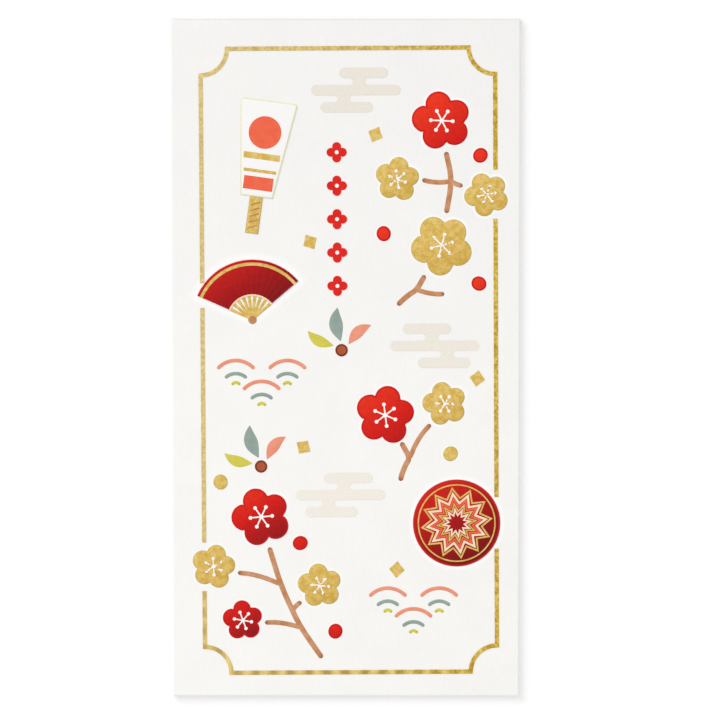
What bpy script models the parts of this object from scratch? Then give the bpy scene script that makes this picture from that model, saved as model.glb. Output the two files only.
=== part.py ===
"""A long gift envelope for a banknote, folded from one sheet of card paper.

The envelope lies on its back: +X runs to the right across the front, +Y towards
the closure crease, +Z out of the printed front. The origin is the middle of the
footprint, on the surface that the envelope lies on. All lengths are in metres.
"""

import math

import bmesh
import bpy
from mathutils import Vector

# The folded envelope
WIDTH = 0.0900
HEIGHT = 0.1760
PAPER = 0.00025
POCKET_GAP = 0.0006
HAIRLINE = 0.00003

# Glue lines
GLUE_THICKNESS = 0.00006
SEAM_GLUE_WIDTH = 0.0050
GLUE_END_MARGIN = 0.0040
BOTTOM_GLUE_DEPTH = 0.0070

# Centre seam at the back
SEAM_OVERLAP = 0.0080
SEAM_RAMP = 0.0017
RAMP_CLEARANCE = 0.0003

# Mouth, closure flap and bottom flap
MOUTH_SETBACK = 0.0030
CLOSURE_LENGTH = 0.0240
CLOSURE_TAPER = 0.0085
CLOSURE_CORNER = 0.0040
BOTTOM_FLAP_LENGTH = 0.0150
BOTTOM_FLAP_TAPER = 0.0050
BOTTOM_FLAP_CORNER = 0.0030
FLAP_SIDE_SETBACK = 0.0010
FOLD_STEPS = 10
CORNER_STEPS = 5

# Printed field: a border line with scooped corners
MARGIN_LEFT = 0.0081
MARGIN_RIGHT = 0.0062
MARGIN_TOP = 0.0081
MARGIN_BOTTOM = 0.0065
PRINT_TURN = math.radians(0.3)
BORDER_LINE = 0.0011
CORNER_SCOOP = 0.0068
HALO = 0.0010

# Ink film and embossing
INK = 0.00005
EMBOSS_RISE = 0.00022
EMBOSS_SHOULDER = 0.0005

# Printed motifs; a petal's middle stands at this share of its blossom's or crest's radius
PETAL_REACH = 0.60
CREST_REACH = 0.56
RED_BLOSSOM_RADIUS = 0.0076
SMALL_RED_RADIUS = 0.0052
GOLD_BLOSSOM_RADIUS = 0.0057
LARGE_GOLD_RADIUS = 0.0079
BUD_RADIUS = 0.0019
FLECK_SIDE = 0.0030
CREST_RADIUS = 0.0026
STEM_WIDTH = 0.0013
TWIG_WIDTH = 0.0011
STEM_TIP_GAP = 0.0007
MIST_BAR = 0.0026
MIST_GAP = 0.0018
MIST_NECK = 0.0030
MIST_UPPER_LENGTH = 0.0125
MIST_MIDDLE_LENGTH = 0.0230
MIST_LOWER_LENGTH = 0.0135
MIST_UPPER_PUSH = 0.0020
MIST_LOWER_PUSH = -0.0024
MIST_UPPER_NECK_PUSH = 0.0008
MIST_LOWER_NECK_PUSH = -0.0032
LEAF_LENGTH = 0.0108
LEAF_HALF_ANGLE = math.radians(32)
BERRY_RADIUS = 0.0016
TEMARI_RADIUS = 0.0113
FAN_RADIUS = 0.0155
FAN_HALF_ANGLE = math.radians(58)
FAN_PIVOT = 0.0013
FAN_TURN = math.radians(8)
FAN_TIP_HALO = 0.0032
PADDLE_TOP_WIDTH = 0.0150
PADDLE_NECK_WIDTH = 0.0085
PADDLE_BLADE = 0.0250
PADDLE_HANDLE_WIDTH = 0.0034
PADDLE_HANDLE = 0.0095
PADDLE_CORNER = 0.0012
PADDLE_TURN = math.radians(-8)

# Where each motif stands: shares of the field's half width and half height
RED_BLOSSOMS = {
    "red_blossom_upper": (0.634, 0.768, 12),
    "red_blossom_middle": (0.238, -0.173, -8),
    "red_blossom_lower": (-0.608, -0.496, 20),
}
SMALL_RED_BLOSSOM = (-0.740, -0.830, 5)
GOLD_BLOSSOMS = {
    "gold_blossom_1": (0.330, 0.582, -6),
    "gold_blossom_2": (0.940, 0.533, 25),
    "gold_blossom_3": (0.647, -0.136, 14),
    "gold_blossom_4": (-0.940, -0.657, -12),
    "gold_blossom_5": (-0.211, -0.719, 8),
}
LARGE_GOLD_BLOSSOM = (0.634, 0.372, 30)
RED_BUDS = [(0.898, 0.657), (0.238, 0.409), (0.885, 0.248), (-0.343, -0.582), (-0.106, -0.867)]
GOLD_BUDS = [(0.687, -0.297), (-0.885, -0.384)]
FLECKS = [
    (0.185, 0.725, 20),
    (-0.264, 0.384, -15),
    (0.872, -0.056, 35),
    (-0.317, -0.273, 10),
    (0.317, -0.669, 40),
]
MIST_BANDS = [(0.053, 0.867, 1), (0.581, 0.050, -1), (-0.066, -0.4275, 1)]
LEAF_SPRIGS = [(-0.053, 0.037, 0), (-0.608, -0.335, 10)]
CREST_COLUMN_ACROSS = -0.079
CREST_COLUMN_UP = 0.456
CREST_PITCH = 0.0086
CREST_COUNT = 5
TEMARI = (0.727, -0.520)
FAN = (-0.660, 0.136)
PADDLE = (-0.581, 0.682)
UPPER_KNOT = (0.700, 0.575)
HANGING_END = (0.330, 0.180)
HANGING_KNOT = (0.462, 0.229)
HANGING_TIP = (0.650, 0.215)
MIDDLE_END = (0.343, -0.384)
MIDDLE_KNOT = (0.410, -0.310)
LOWER_END = (-0.198, -0.954)
LOWER_FORK = (-0.343, -0.855)
LOWER_JOINT = (-0.400, -0.800)
LOWER_ELBOW = (-0.480, -0.715)

# Heights of the layers, from the surface up
FLAP_TOP = PAPER
BACK_LOW = FLAP_TOP + GLUE_THICKNESS + 2 * HAIRLINE
BACK_TOP = BACK_LOW + PAPER
SEAM_STEP = PAPER + GLUE_THICKNESS + 2 * HAIRLINE
FRONT_LOW = BACK_TOP + POCKET_GAP
FRONT_TOP = FRONT_LOW + PAPER

# Fold radii, and the lines where the flat panels end
END_FOLD_RADIUS = FRONT_TOP / 2
SIDE_FOLD_RADIUS = (FRONT_TOP - BACK_LOW) / 2
CREASE_Y = HEIGHT / 2 - END_FOLD_RADIUS
CREASE_Z = FRONT_TOP / 2
SIDE_LINE = WIDTH / 2 - SIDE_FOLD_RADIUS
PANEL_HALF_WIDTH = SIDE_LINE - HAIRLINE
PANEL_HALF_HEIGHT = CREASE_Y - HAIRLINE

# The field inside the border line
FIELD_HALF_WIDTH = (WIDTH - MARGIN_LEFT - MARGIN_RIGHT) / 2
FIELD_HALF_HEIGHT = (HEIGHT - MARGIN_TOP - MARGIN_BOTTOM) / 2
FIELD_X = (MARGIN_LEFT - MARGIN_RIGHT) / 2
FIELD_Y = (MARGIN_BOTTOM - MARGIN_TOP) / 2


def clear_scene():
    """Start from an empty scene."""
    for item in list(bpy.data.objects):
        bpy.data.objects.remove(item, do_unlink=True)


def finish(name, colour, roughness, metallic=0.0):
    """A plain Principled material."""
    material = bpy.data.materials.new(name)
    material.use_nodes = True
    shader = material.node_tree.nodes["Principled BSDF"]
    shader.inputs["Base Color"].default_value = (*colour, 1.0)
    shader.inputs["Roughness"].default_value = roughness
    shader.inputs["Metallic"].default_value = metallic
    return material


def add_piece(name, bm, material, location=(0, 0, 0), turn=(0, 0, 0), parent=None):
    """Turn a bmesh into a named object, placed by its location and rotation."""
    mesh = bpy.data.meshes.new(name)
    bmesh.ops.recalc_face_normals(bm, faces=bm.faces)
    bm.to_mesh(mesh)
    bm.free()
    mesh.materials.append(material)
    piece = bpy.data.objects.new(name, mesh)
    bpy.context.collection.objects.link(piece)
    piece.location = location
    piece.rotation_euler = turn
    piece.parent = parent
    return piece


def sheet(outline, low, high):
    """A flat sheet with the given outline, between two heights."""
    bm = bmesh.new()
    floor = bm.faces.new([bm.verts.new((x, y, low)) for x, y in outline])
    grown = bmesh.ops.extrude_face_region(bm, geom=[floor])
    raised = [item for item in grown["geom"] if isinstance(item, bmesh.types.BMVert)]
    bmesh.ops.translate(bm, verts=raised, vec=(0, 0, high - low))
    bmesh.ops.recalc_face_normals(bm, faces=bm.faces)
    return bm


def embossed(outline):
    """An inked sheet whose middle is pressed up behind a sloping shoulder."""
    bm = sheet(outline, 0, INK)
    top = max(bm.faces, key=lambda face: face.calc_center_median().z)
    bmesh.ops.inset_region(bm, faces=[top], thickness=EMBOSS_SHOULDER, depth=0)
    bmesh.ops.translate(bm, verts=list(top.verts), vec=(0, 0, EMBOSS_RISE))
    return bm


def arc(centre, radius, start, end, steps):
    """Points along a circular arc, both ends included."""
    points = []
    for step in range(steps + 1):
        angle = start + (end - start) * step / steps
        points.append((centre[0] + radius * math.cos(angle), centre[1] + radius * math.sin(angle)))
    return points


def rectangle(half_width, low, high):
    """A rectangle's corners, centred across."""
    return [(-half_width, low), (half_width, low), (half_width, high), (-half_width, high)]


def rounded(corners, radius):
    """A convex outline with each corner replaced by an arc; a radius of 0 keeps it."""
    points = []
    count = len(corners)
    for index, (corner, size) in enumerate(zip(corners, radius)):
        here = Vector(corner)
        back = (Vector(corners[index - 1]) - here).normalized()
        ahead = (Vector(corners[(index + 1) % count]) - here).normalized()
        if size == 0:
            points.append(tuple(here))
            continue
        half = back.angle(ahead) / 2
        centre = here + (back + ahead).normalized() * size / math.sin(half)
        first = here + back * size / math.tan(half) - centre
        last = here + ahead * size / math.tan(half) - centre
        start = math.atan2(first.y, first.x)
        swing = math.atan2(first.x * last.y - first.y * last.x, first.dot(last))
        points += arc(centre, size, start, start + swing, CORNER_STEPS)
    return points


def flap_outline(length, taper, corner):
    """A flap that hangs from its crease at the origin towards -Y and narrows."""
    base = PANEL_HALF_WIDTH - FLAP_SIDE_SETBACK
    corners = [(base, -HAIRLINE), (-base, -HAIRLINE), (taper - base, -length), (base - taper, -length)]
    return rounded(corners, [0, 0, corner, corner])


def fold_strip(name, radius, length, location, turn, paper):
    """Half a round fold: a C-shaped strip of paper that opens towards the panels."""
    outer = arc((0, 0), radius, -math.pi / 2, math.pi / 2, FOLD_STEPS)
    inner = arc((0, 0), radius - PAPER, math.pi / 2, -math.pi / 2, FOLD_STEPS)
    bm = sheet(outer + inner, 0, length)
    return add_piece(name, bm, paper, location, (math.pi / 2, 0, turn))


def build_front(paper):
    """The front panel, flat between the folds."""
    outline = rectangle(PANEL_HALF_WIDTH, -PANEL_HALF_HEIGHT, PANEL_HALF_HEIGHT)
    return add_piece("front_panel", sheet(outline, 0, PAPER), paper, (0, 0, FRONT_LOW))


def build_folds(paper):
    """The side folds, the bottom fold and the closure crease."""
    side_length = HEIGHT / 2 + CREASE_Y
    side_z = BACK_LOW + SIDE_FOLD_RADIUS
    span = 2 * PANEL_HALF_WIDTH
    fold_strip("right_side_fold", SIDE_FOLD_RADIUS, side_length, (SIDE_LINE, CREASE_Y, side_z), 0, paper)
    fold_strip(
        "left_side_fold", SIDE_FOLD_RADIUS, side_length, (-SIDE_LINE, -HEIGHT / 2, side_z), math.pi, paper
    )
    fold_strip(
        "bottom_fold", END_FOLD_RADIUS, span, (span / 2, -CREASE_Y, CREASE_Z), -math.pi / 2, paper
    )
    fold_strip(
        "closure_crease", END_FOLD_RADIUS, span, (-span / 2, CREASE_Y, CREASE_Z), math.pi / 2, paper
    )


def build_back(paper, glue):
    """Two back panels that lap at the centre seam, and the glue between them."""
    top = CREASE_Y - MOUTH_SETBACK
    bottom = -PANEL_HALF_HEIGHT
    half_lap = SEAM_OVERLAP / 2
    right = [(-half_lap, bottom), (PANEL_HALF_WIDTH, bottom), (PANEL_HALF_WIDTH, top), (-half_lap, top)]
    add_piece("right_back_panel", sheet(right, 0, PAPER), paper, (0, 0, BACK_LOW))

    ramp_end = -half_lap - RAMP_CLEARANCE
    ramp_start = ramp_end - SEAM_RAMP
    under = [(-PANEL_HALF_WIDTH, 0), (ramp_start, 0), (ramp_end, SEAM_STEP), (half_lap, SEAM_STEP)]
    over = [(x, height + PAPER) for x, height in reversed(under)]
    bm = sheet(under + over, 0, top - bottom)
    add_piece("left_back_panel", bm, paper, (0, top, BACK_LOW), (math.pi / 2, 0, 0))

    strip = rectangle(SEAM_GLUE_WIDTH / 2, bottom + GLUE_END_MARGIN, top - GLUE_END_MARGIN)
    add_piece("seam_glue", sheet(strip, 0, GLUE_THICKNESS), glue, (0, 0, BACK_TOP + HAIRLINE))


def build_bottom_flap(paper, glue):
    """The bottom flap, folded up over the back panels and glued to them."""
    outline = [(-x, -y) for x, y in flap_outline(BOTTOM_FLAP_LENGTH, BOTTOM_FLAP_TAPER, BOTTOM_FLAP_CORNER)]
    add_piece("bottom_flap", sheet(outline, 0, PAPER), paper, (0, -CREASE_Y, 0))
    half = PANEL_HALF_WIDTH - FLAP_SIDE_SETBACK - BOTTOM_FLAP_TAPER - GLUE_END_MARGIN / 2
    middle = -CREASE_Y + BOTTOM_FLAP_LENGTH / 2
    band = rectangle(half, -BOTTOM_GLUE_DEPTH / 2, BOTTOM_GLUE_DEPTH / 2)
    add_piece("bottom_glue", sheet(band, 0, GLUE_THICKNESS), glue, (0, middle, FLAP_TOP + HAIRLINE))


def build_closure_flap(paper):
    """The closure flap. Its origin lies on the crease that it turns about."""
    outline = flap_outline(CLOSURE_LENGTH, CLOSURE_TAPER, CLOSURE_CORNER)
    bm = sheet(outline, -CREASE_Z, PAPER - CREASE_Z)
    add_piece("closure_flap", bm, paper, (0, CREASE_Y, CREASE_Z))


def spot(across, up):
    """A place in the printed field, from shares of its half width and half height."""
    return Vector((across * FIELD_HALF_WIDTH, up * FIELD_HALF_HEIGHT))


def lobed(radius, lobes, reach_share, steps=7):
    """A flower outline: equal round petals whose circles overlap."""
    reach = reach_share * radius
    petal = radius - reach
    half = math.pi / lobes
    points = []
    for lobe in range(lobes):
        axis = math.pi / 2 + 2 * half * lobe
        for step in range(steps):
            angle = half * (2 * step / steps - 1)
            across = reach * math.sin(angle)
            distance = reach * math.cos(angle) + math.sqrt(max(petal**2 - across**2, 0))
            points.append((distance * math.cos(axis + angle), distance * math.sin(axis + angle)))
    return points


def stroke(points, width):
    """The outline of a brush stroke of constant width with round ends."""
    points = [Vector(point) for point in points]
    left = []
    right = []
    for index, point in enumerate(points):
        back = (point - points[index - 1]).normalized() if index else None
        ahead = (points[index + 1] - point).normalized() if index + 1 < len(points) else None
        along = ((back or ahead) + (ahead or back)).normalized()
        across = Vector((-along.y, along.x)) * width / 2
        left.append(point + across)
        right.append(point - across)
    start = (points[0] - points[1]).normalized()
    end = (points[-1] - points[-2]).normalized()
    nose = math.atan2(end.y, end.x)
    tail = math.atan2(start.y, start.x)
    half_turn = math.pi / 2
    outline = [tuple(point) for point in right[1:-1]]
    outline += arc(points[-1], width / 2, nose - half_turn, nose + half_turn, CORNER_STEPS)
    outline += [tuple(point) for point in reversed(left[1:-1])]
    outline += arc(points[0], width / 2, tail - half_turn, tail + half_turn, CORNER_STEPS)
    return outline


def ribbon(points, width):
    """The outline of a line of constant width with square ends."""
    points = [Vector(point) for point in points]
    left = []
    right = []
    for index, point in enumerate(points):
        back = (point - points[index - 1]).normalized() if index else None
        ahead = (points[index + 1] - point).normalized() if index + 1 < len(points) else None
        along = ((back or ahead) + (ahead or back)).normalized()
        mitre = along.dot(ahead or back)
        across = Vector((-along.y, along.x)) * width / 2 / mitre
        left.append(tuple(point + across))
        right.append(tuple(point - across))
    return right + left[::-1]


def scooped_corner(side_x, side_y, backwards):
    """The inward quarter circle at one corner of the border."""
    centre = (side_x * FIELD_HALF_WIDTH, side_y * FIELD_HALF_HEIGHT)
    towards_side = math.atan2(-side_y, 0)
    towards_end = math.atan2(0, -side_x)
    swing = math.atan2(math.sin(towards_end - towards_side), math.cos(towards_end - towards_side))
    points = arc(centre, CORNER_SCOOP, towards_side, towards_side + swing, 2 * CORNER_STEPS)
    return points[::-1] if backwards else points


def halo_half(radius, distance):
    """Half of the break that a motif's halo makes in a border line at a distance."""
    reach = radius + HALO
    return math.sqrt(max(reach**2 - distance**2, 0)) + HAIRLINE


def build_border(field, gold):
    """The border in four lines, broken where a motif stands across it."""
    side = FIELD_HALF_WIDTH
    fan_tip = spot(*FAN) + FAN_RADIUS * Vector(
        (-math.sin(FAN_HALF_ANGLE + FAN_TURN), math.cos(FAN_HALF_ANGLE + FAN_TURN))
    )
    left_upper = (fan_tip.y, FAN_TIP_HALO)
    blossom = spot(*GOLD_BLOSSOMS["gold_blossom_4"][:2])
    left_lower = (blossom.y, halo_half(GOLD_BLOSSOM_RADIUS, side + blossom.x))
    blossom = spot(*GOLD_BLOSSOMS["gold_blossom_2"][:2])
    right_upper = (blossom.y, halo_half(GOLD_BLOSSOM_RADIUS, side - blossom.x))
    ball = spot(*TEMARI)
    right_lower = (ball.y, halo_half(TEMARI_RADIUS, side - ball.x))

    top = [(-side, left_upper[0] + left_upper[1])]
    top += scooped_corner(-1, 1, False) + scooped_corner(1, 1, True)
    top += [(side, right_upper[0] + right_upper[1])]
    bottom = [(-side, left_lower[0] - left_lower[1])]
    bottom += scooped_corner(-1, -1, False) + scooped_corner(1, -1, True)
    bottom += [(side, right_lower[0] - right_lower[1])]
    left = [(-side, left_lower[0] + left_lower[1]), (-side, left_upper[0] - left_upper[1])]
    right = [(side, right_lower[0] + right_lower[1]), (side, right_upper[0] - right_upper[1])]
    for name, path in (("top", top), ("bottom", bottom), ("left", left), ("right", right)):
        outline = ribbon(path, BORDER_LINE)
        add_piece("border_" + name, sheet(outline, 0, INK), gold, parent=field)


def build_blossoms(field, red, gold):
    """Embossed plum blossoms of five petals."""
    flowers = [(name, place, RED_BLOSSOM_RADIUS, red) for name, place in RED_BLOSSOMS.items()]
    flowers += [(name, place, GOLD_BLOSSOM_RADIUS, gold) for name, place in GOLD_BLOSSOMS.items()]
    flowers.append(("red_blossom_small", SMALL_RED_BLOSSOM, SMALL_RED_RADIUS, red))
    flowers.append(("gold_blossom_large", LARGE_GOLD_BLOSSOM, LARGE_GOLD_RADIUS, gold))
    for name, (across, up, turn), radius, ink in flowers:
        place = (*spot(across, up), 0)
        add_piece(name, embossed(lobed(radius, 5, PETAL_REACH)), ink, place, (0, 0, math.radians(turn)), field)


def tip_at(blossom, radius, knot):
    """Where a stem from the knot stops, just short of a blossom."""
    centre = spot(*blossom[:2])
    return centre + (knot - centre).normalized() * (radius + STEM_TIP_GAP + STEM_WIDTH / 2)


def build_stem(name, path, twigs, field, ink):
    """One stem with its side twigs, joined into one printed shape."""
    stem = add_piece(name, sheet(stroke(path, STEM_WIDTH), 0, INK), ink, parent=field)
    for index, twig in enumerate(twigs):
        inner = sheet(stroke(twig, TWIG_WIDTH), INK / 10, INK * 9 / 10)
        guide = add_piece(f"{name}_twig_{index + 1}", inner, ink, parent=field)
        guide.hide_render = True
        guide.display_type = "WIRE"
        join = stem.modifiers.new(f"Twig {index + 1}", "BOOLEAN")
        join.operation = "UNION"
        join.object = guide


def build_stems(field, ink):
    """The plum stems between the blossoms."""
    upper = RED_BLOSSOMS["red_blossom_upper"]
    knot = spot(*UPPER_KNOT)
    path = [
        tip_at(upper, RED_BLOSSOM_RADIUS, knot),
        knot,
        tip_at(LARGE_GOLD_BLOSSOM, LARGE_GOLD_RADIUS, knot),
    ]
    twigs = [
        [knot, tip_at(GOLD_BLOSSOMS["gold_blossom_1"], GOLD_BLOSSOM_RADIUS, knot)],
        [knot, tip_at(GOLD_BLOSSOMS["gold_blossom_2"], GOLD_BLOSSOM_RADIUS, knot)],
    ]
    build_stem("upper_stem", path, twigs, field, ink)

    knot = spot(*HANGING_KNOT)
    path = [spot(*HANGING_END), knot, tip_at(LARGE_GOLD_BLOSSOM, LARGE_GOLD_RADIUS, knot)]
    build_stem("hanging_stem", path, [[knot, spot(*HANGING_TIP)]], field, ink)

    knot = spot(*MIDDLE_KNOT)
    middle = RED_BLOSSOMS["red_blossom_middle"]
    path = [spot(*MIDDLE_END), knot, tip_at(middle, RED_BLOSSOM_RADIUS, knot)]
    twig = [knot, tip_at(GOLD_BLOSSOMS["gold_blossom_3"], GOLD_BLOSSOM_RADIUS, knot)]
    build_stem("middle_stem", path, [twig], field, ink)

    lower = RED_BLOSSOMS["red_blossom_lower"]
    fork = spot(*LOWER_FORK)
    joint = spot(*LOWER_JOINT)
    elbow = spot(*LOWER_ELBOW)
    path = [spot(*LOWER_END), fork, joint, elbow, tip_at(lower, RED_BLOSSOM_RADIUS, elbow)]
    twigs = [
        [fork, tip_at(SMALL_RED_BLOSSOM, SMALL_RED_RADIUS, fork)],
        [joint, tip_at(GOLD_BLOSSOMS["gold_blossom_5"], GOLD_BLOSSOM_RADIUS, joint)],
        [elbow, tip_at(GOLD_BLOSSOMS["gold_blossom_4"], GOLD_BLOSSOM_RADIUS, elbow)],
    ]
    build_stem("lower_stem", path, twigs, field, ink)


def build_small_marks(field, red, gold):
    """Buds, gold flecks and the column of small crests."""
    disc = arc((0, 0), BUD_RADIUS, 0, 2 * math.pi, 20)[:-1]
    for colour, ink, places in (("red", red, RED_BUDS), ("gold", gold, GOLD_BUDS)):
        for number, (across, up) in enumerate(places, 1):
            add_piece(f"{colour}_bud_{number}", embossed(disc), ink, (*spot(across, up), 0), parent=field)

    half = FLECK_SIDE / 2
    for number, (across, up, turn) in enumerate(FLECKS, 1):
        bm = sheet(rectangle(half, -half, half), 0, INK)
        place = (*spot(across, up), 0)
        add_piece(f"gold_fleck_{number}", bm, gold, place, (0, 0, math.radians(turn)), field)

    for number in range(CREST_COUNT):
        middle = spot(CREST_COLUMN_ACROSS, CREST_COLUMN_UP)
        rise = ((CREST_COUNT - 1) / 2 - number) * CREST_PITCH
        bm = sheet(lobed(CREST_RADIUS, 4, CREST_REACH), 0, INK)
        add_piece(f"crest_{number + 1}", bm, red, (middle.x, middle.y + rise, 0), parent=field)


def mist_outline(side):
    """Three bars with round ends, joined by short necks between round notches."""
    up = math.pi / 2
    radius = MIST_BAR / 2
    notch = MIST_GAP / 2
    bars = [
        (MIST_UPPER_LENGTH, MIST_UPPER_PUSH),
        (MIST_MIDDLE_LENGTH, 0),
        (MIST_LOWER_LENGTH, MIST_LOWER_PUSH),
    ]
    necks = [MIST_UPPER_NECK_PUSH, MIST_LOWER_NECK_PUSH]
    right = []
    left = []
    for row, (length, push) in enumerate(bars):
        height = (1 - row) * (MIST_BAR + MIST_GAP)
        middle = side * push
        reach = length / 2 - radius
        right += arc((middle + reach, height), radius, up, -up, 2 * CORNER_STEPS)
        left = arc((middle - reach, height), radius, -up, -3 * up, 2 * CORNER_STEPS) + left
        if row < len(necks):
            neck = side * necks[row]
            aside = MIST_NECK / 2 + notch
            between = height - radius - notch
            right += arc((neck + aside, between), notch, up, 3 * up, CORNER_STEPS)
            left = arc((neck - aside, between), notch, -up, up, CORNER_STEPS) + left
    return right + left


def build_mist(field, beige):
    """Bands of drifting mist."""
    for number, (across, up, side) in enumerate(MIST_BANDS, 1):
        bm = sheet(mist_outline(side), 0, INK)
        add_piece(f"mist_band_{number}", bm, beige, (*spot(across, up), 0), parent=field)


def sprig_outline():
    """Three pointed leaves that spread from one round berry."""
    leaves = [math.radians(angle) for angle in (150, 95, 40)]
    points = []
    for step in range(72):
        angle = math.radians(5 * step)
        distance = BERRY_RADIUS
        for leaf in leaves:
            off_axis = abs(math.remainder(angle - leaf, 2 * math.pi))
            share = math.sin(max(LEAF_HALF_ANGLE - off_axis, 0)) / math.sin(LEAF_HALF_ANGLE)
            distance = max(distance, LEAF_LENGTH * share)
        points.append((distance * math.cos(angle), distance * math.sin(angle)))
    return points


def build_sprigs(field, green):
    """The leaf sprigs."""
    for number, (across, up, turn) in enumerate(LEAF_SPRIGS, 1):
        place = (*spot(across, up), 0)
        turned = (0, 0, math.radians(turn))
        add_piece(f"leaf_sprig_{number}", sheet(sprig_outline(), 0, INK), green, place, turned, field)


def fan_outline():
    """An open folding fan: the paper's arc above, the ribs' pivot at 0."""
    first = math.pi / 2 - FAN_HALF_ANGLE
    last = math.pi / 2 + FAN_HALF_ANGLE
    paper = arc((0, 0), FAN_RADIUS, first, last, 4 * CORNER_STEPS)
    pivot = arc((0, 0), FAN_PIVOT, last, first + 2 * math.pi, CORNER_STEPS)
    return paper + pivot


def paddle_outline():
    """A battledore: a blade that narrows to its neck, and a straight handle."""
    top = PADDLE_TOP_WIDTH / 2
    neck = PADDLE_NECK_WIDTH / 2
    grip = PADDLE_HANDLE_WIDTH / 2
    low = -PADDLE_BLADE / 2
    blade = [(neck, low), (top, -low), (-top, -low), (-neck, low)]
    handle = [(-grip, low), (-grip, low - PADDLE_HANDLE), (grip, low - PADDLE_HANDLE), (grip, low)]
    return rounded(blade, [0, PADDLE_CORNER, PADDLE_CORNER, 0]) + handle


def build_figures(field, red, deep_red, cream):
    """The large figures: a thread ball, a folding fan and a battledore."""
    ball = arc((0, 0), TEMARI_RADIUS, 0, 2 * math.pi, 48)[:-1]
    add_piece("temari_ball", embossed(ball), red, (*spot(*TEMARI), 0), parent=field)
    add_piece("folding_fan", embossed(fan_outline()), deep_red, (*spot(*FAN), 0), (0, 0, FAN_TURN), field)
    bm = embossed(paddle_outline())
    add_piece("battledore", bm, cream, (*spot(*PADDLE), 0), (0, 0, PADDLE_TURN), field)


def build_print():
    """Everything printed on the front, on an empty that carries the print's turn."""
    field = bpy.data.objects.new("print_field", None)
    bpy.context.collection.objects.link(field)
    field.location = (FIELD_X, FIELD_Y, FRONT_TOP + HAIRLINE)
    field.rotation_euler = (0, 0, PRINT_TURN)

    gold = finish("gold_ink", (0.66, 0.49, 0.12), 0.38, 0.6)
    red = finish("red_foil", (0.78, 0.03, 0.02), 0.35)
    deep_red = finish("deep_red_foil", (0.30, 0.01, 0.02), 0.35)
    brown = finish("brown_ink", (0.56, 0.30, 0.17), 0.7)
    beige = finish("beige_ink", (0.84, 0.79, 0.72), 0.8)
    green = finish("leaf_ink", (0.33, 0.40, 0.34), 0.8)
    cream = finish("cream_ink", (0.90, 0.86, 0.74), 0.7)

    build_border(field, gold)
    build_blossoms(field, red, gold)
    build_stems(field, brown)
    build_small_marks(field, red, gold)
    build_mist(field, beige)
    build_sprigs(field, green)
    build_figures(field, red, deep_red, cream)


def build_envelope():
    """The folded paper and its glue."""
    paper = finish("white_card", (0.91, 0.90, 0.87), 0.85)
    glue = finish("dry_glue", (0.85, 0.83, 0.72), 0.5)
    build_front(paper)
    build_folds(paper)
    build_back(paper, glue)
    build_bottom_flap(paper, glue)
    build_closure_flap(paper)


clear_scene()
build_envelope()
build_print()
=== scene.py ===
import math

import bmesh
import bpy
from mathutils import Matrix, Vector


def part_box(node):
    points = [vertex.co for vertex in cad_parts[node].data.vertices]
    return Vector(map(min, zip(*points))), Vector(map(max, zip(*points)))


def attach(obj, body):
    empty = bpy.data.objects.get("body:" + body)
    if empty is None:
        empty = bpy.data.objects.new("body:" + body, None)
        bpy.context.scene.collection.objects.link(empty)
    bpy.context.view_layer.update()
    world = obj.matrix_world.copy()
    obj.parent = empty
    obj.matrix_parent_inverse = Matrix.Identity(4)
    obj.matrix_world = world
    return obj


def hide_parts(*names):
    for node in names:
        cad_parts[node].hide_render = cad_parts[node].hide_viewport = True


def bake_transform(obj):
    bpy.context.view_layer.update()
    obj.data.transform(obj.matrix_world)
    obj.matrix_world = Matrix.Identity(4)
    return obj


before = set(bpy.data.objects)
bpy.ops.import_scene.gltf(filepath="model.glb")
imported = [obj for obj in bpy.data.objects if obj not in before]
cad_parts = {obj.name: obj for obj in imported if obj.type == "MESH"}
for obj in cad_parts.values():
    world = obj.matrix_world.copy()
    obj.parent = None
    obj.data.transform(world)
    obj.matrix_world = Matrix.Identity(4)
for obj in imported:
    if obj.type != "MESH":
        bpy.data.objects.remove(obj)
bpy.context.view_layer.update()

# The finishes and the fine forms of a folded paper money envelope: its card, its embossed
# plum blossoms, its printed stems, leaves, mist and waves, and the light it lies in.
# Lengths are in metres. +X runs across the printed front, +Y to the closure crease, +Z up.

# Heights and lines of the folded card, read from the frame
CARD_LOW, CARD_TOP = (corner.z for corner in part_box("front_panel"))
PAPER = CARD_TOP - CARD_LOW
FRONT_HALF_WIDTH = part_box("front_panel")[1].x
FRONT_HALF_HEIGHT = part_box("front_panel")[1].y
SIDE_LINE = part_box("right_side_fold")[0].x
SIDE_END_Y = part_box("right_side_fold")[0].y
CREASE_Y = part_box("closure_crease")[0].y
FRONT_MID = CARD_TOP - PAPER / 2
BACK_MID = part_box("right_back_panel")[0].z + PAPER / 2
FLAP_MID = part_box("closure_flap")[0].z + PAPER / 2
MOUTH_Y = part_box("right_back_panel")[1].y
SEAM_HALF_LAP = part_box("left_back_panel")[1].x
SEAM_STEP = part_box("left_back_panel")[1].z - PAPER / 2 - BACK_MID
CLOSURE_LENGTH = CREASE_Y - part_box("closure_flap")[0].y
BOTTOM_FLAP_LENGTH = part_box("bottom_flap")[1].y + CREASE_Y
FLAP_HALF_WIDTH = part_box("closure_flap")[1].x

# Folds and flap corners of the card
SEAM_RAMP = 0.0017
RAMP_CLEARANCE = 0.0003
CLOSURE_TAPER = 0.0085
CLOSURE_CORNER = 0.0030
BOTTOM_FLAP_TAPER = 0.0050
BOTTOM_FLAP_CORNER = 0.0022
FOLD_STEPS = 16
CORNER_STEPS = 8
# The top corners are worn in: over what length, by what share, and how much of it a third down
WORN_LENGTH = 0.0024
WORN_SHARE = 0.75
WORN_THIRD_SHARE = 0.45
HAIRLINE = 0.00003

# Edges that turn by less than this many degrees are shaded smooth
CARD_SMOOTH = 40
MOTIF_SMOOTH = 50
LINE_SMOOTH = 80

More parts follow.
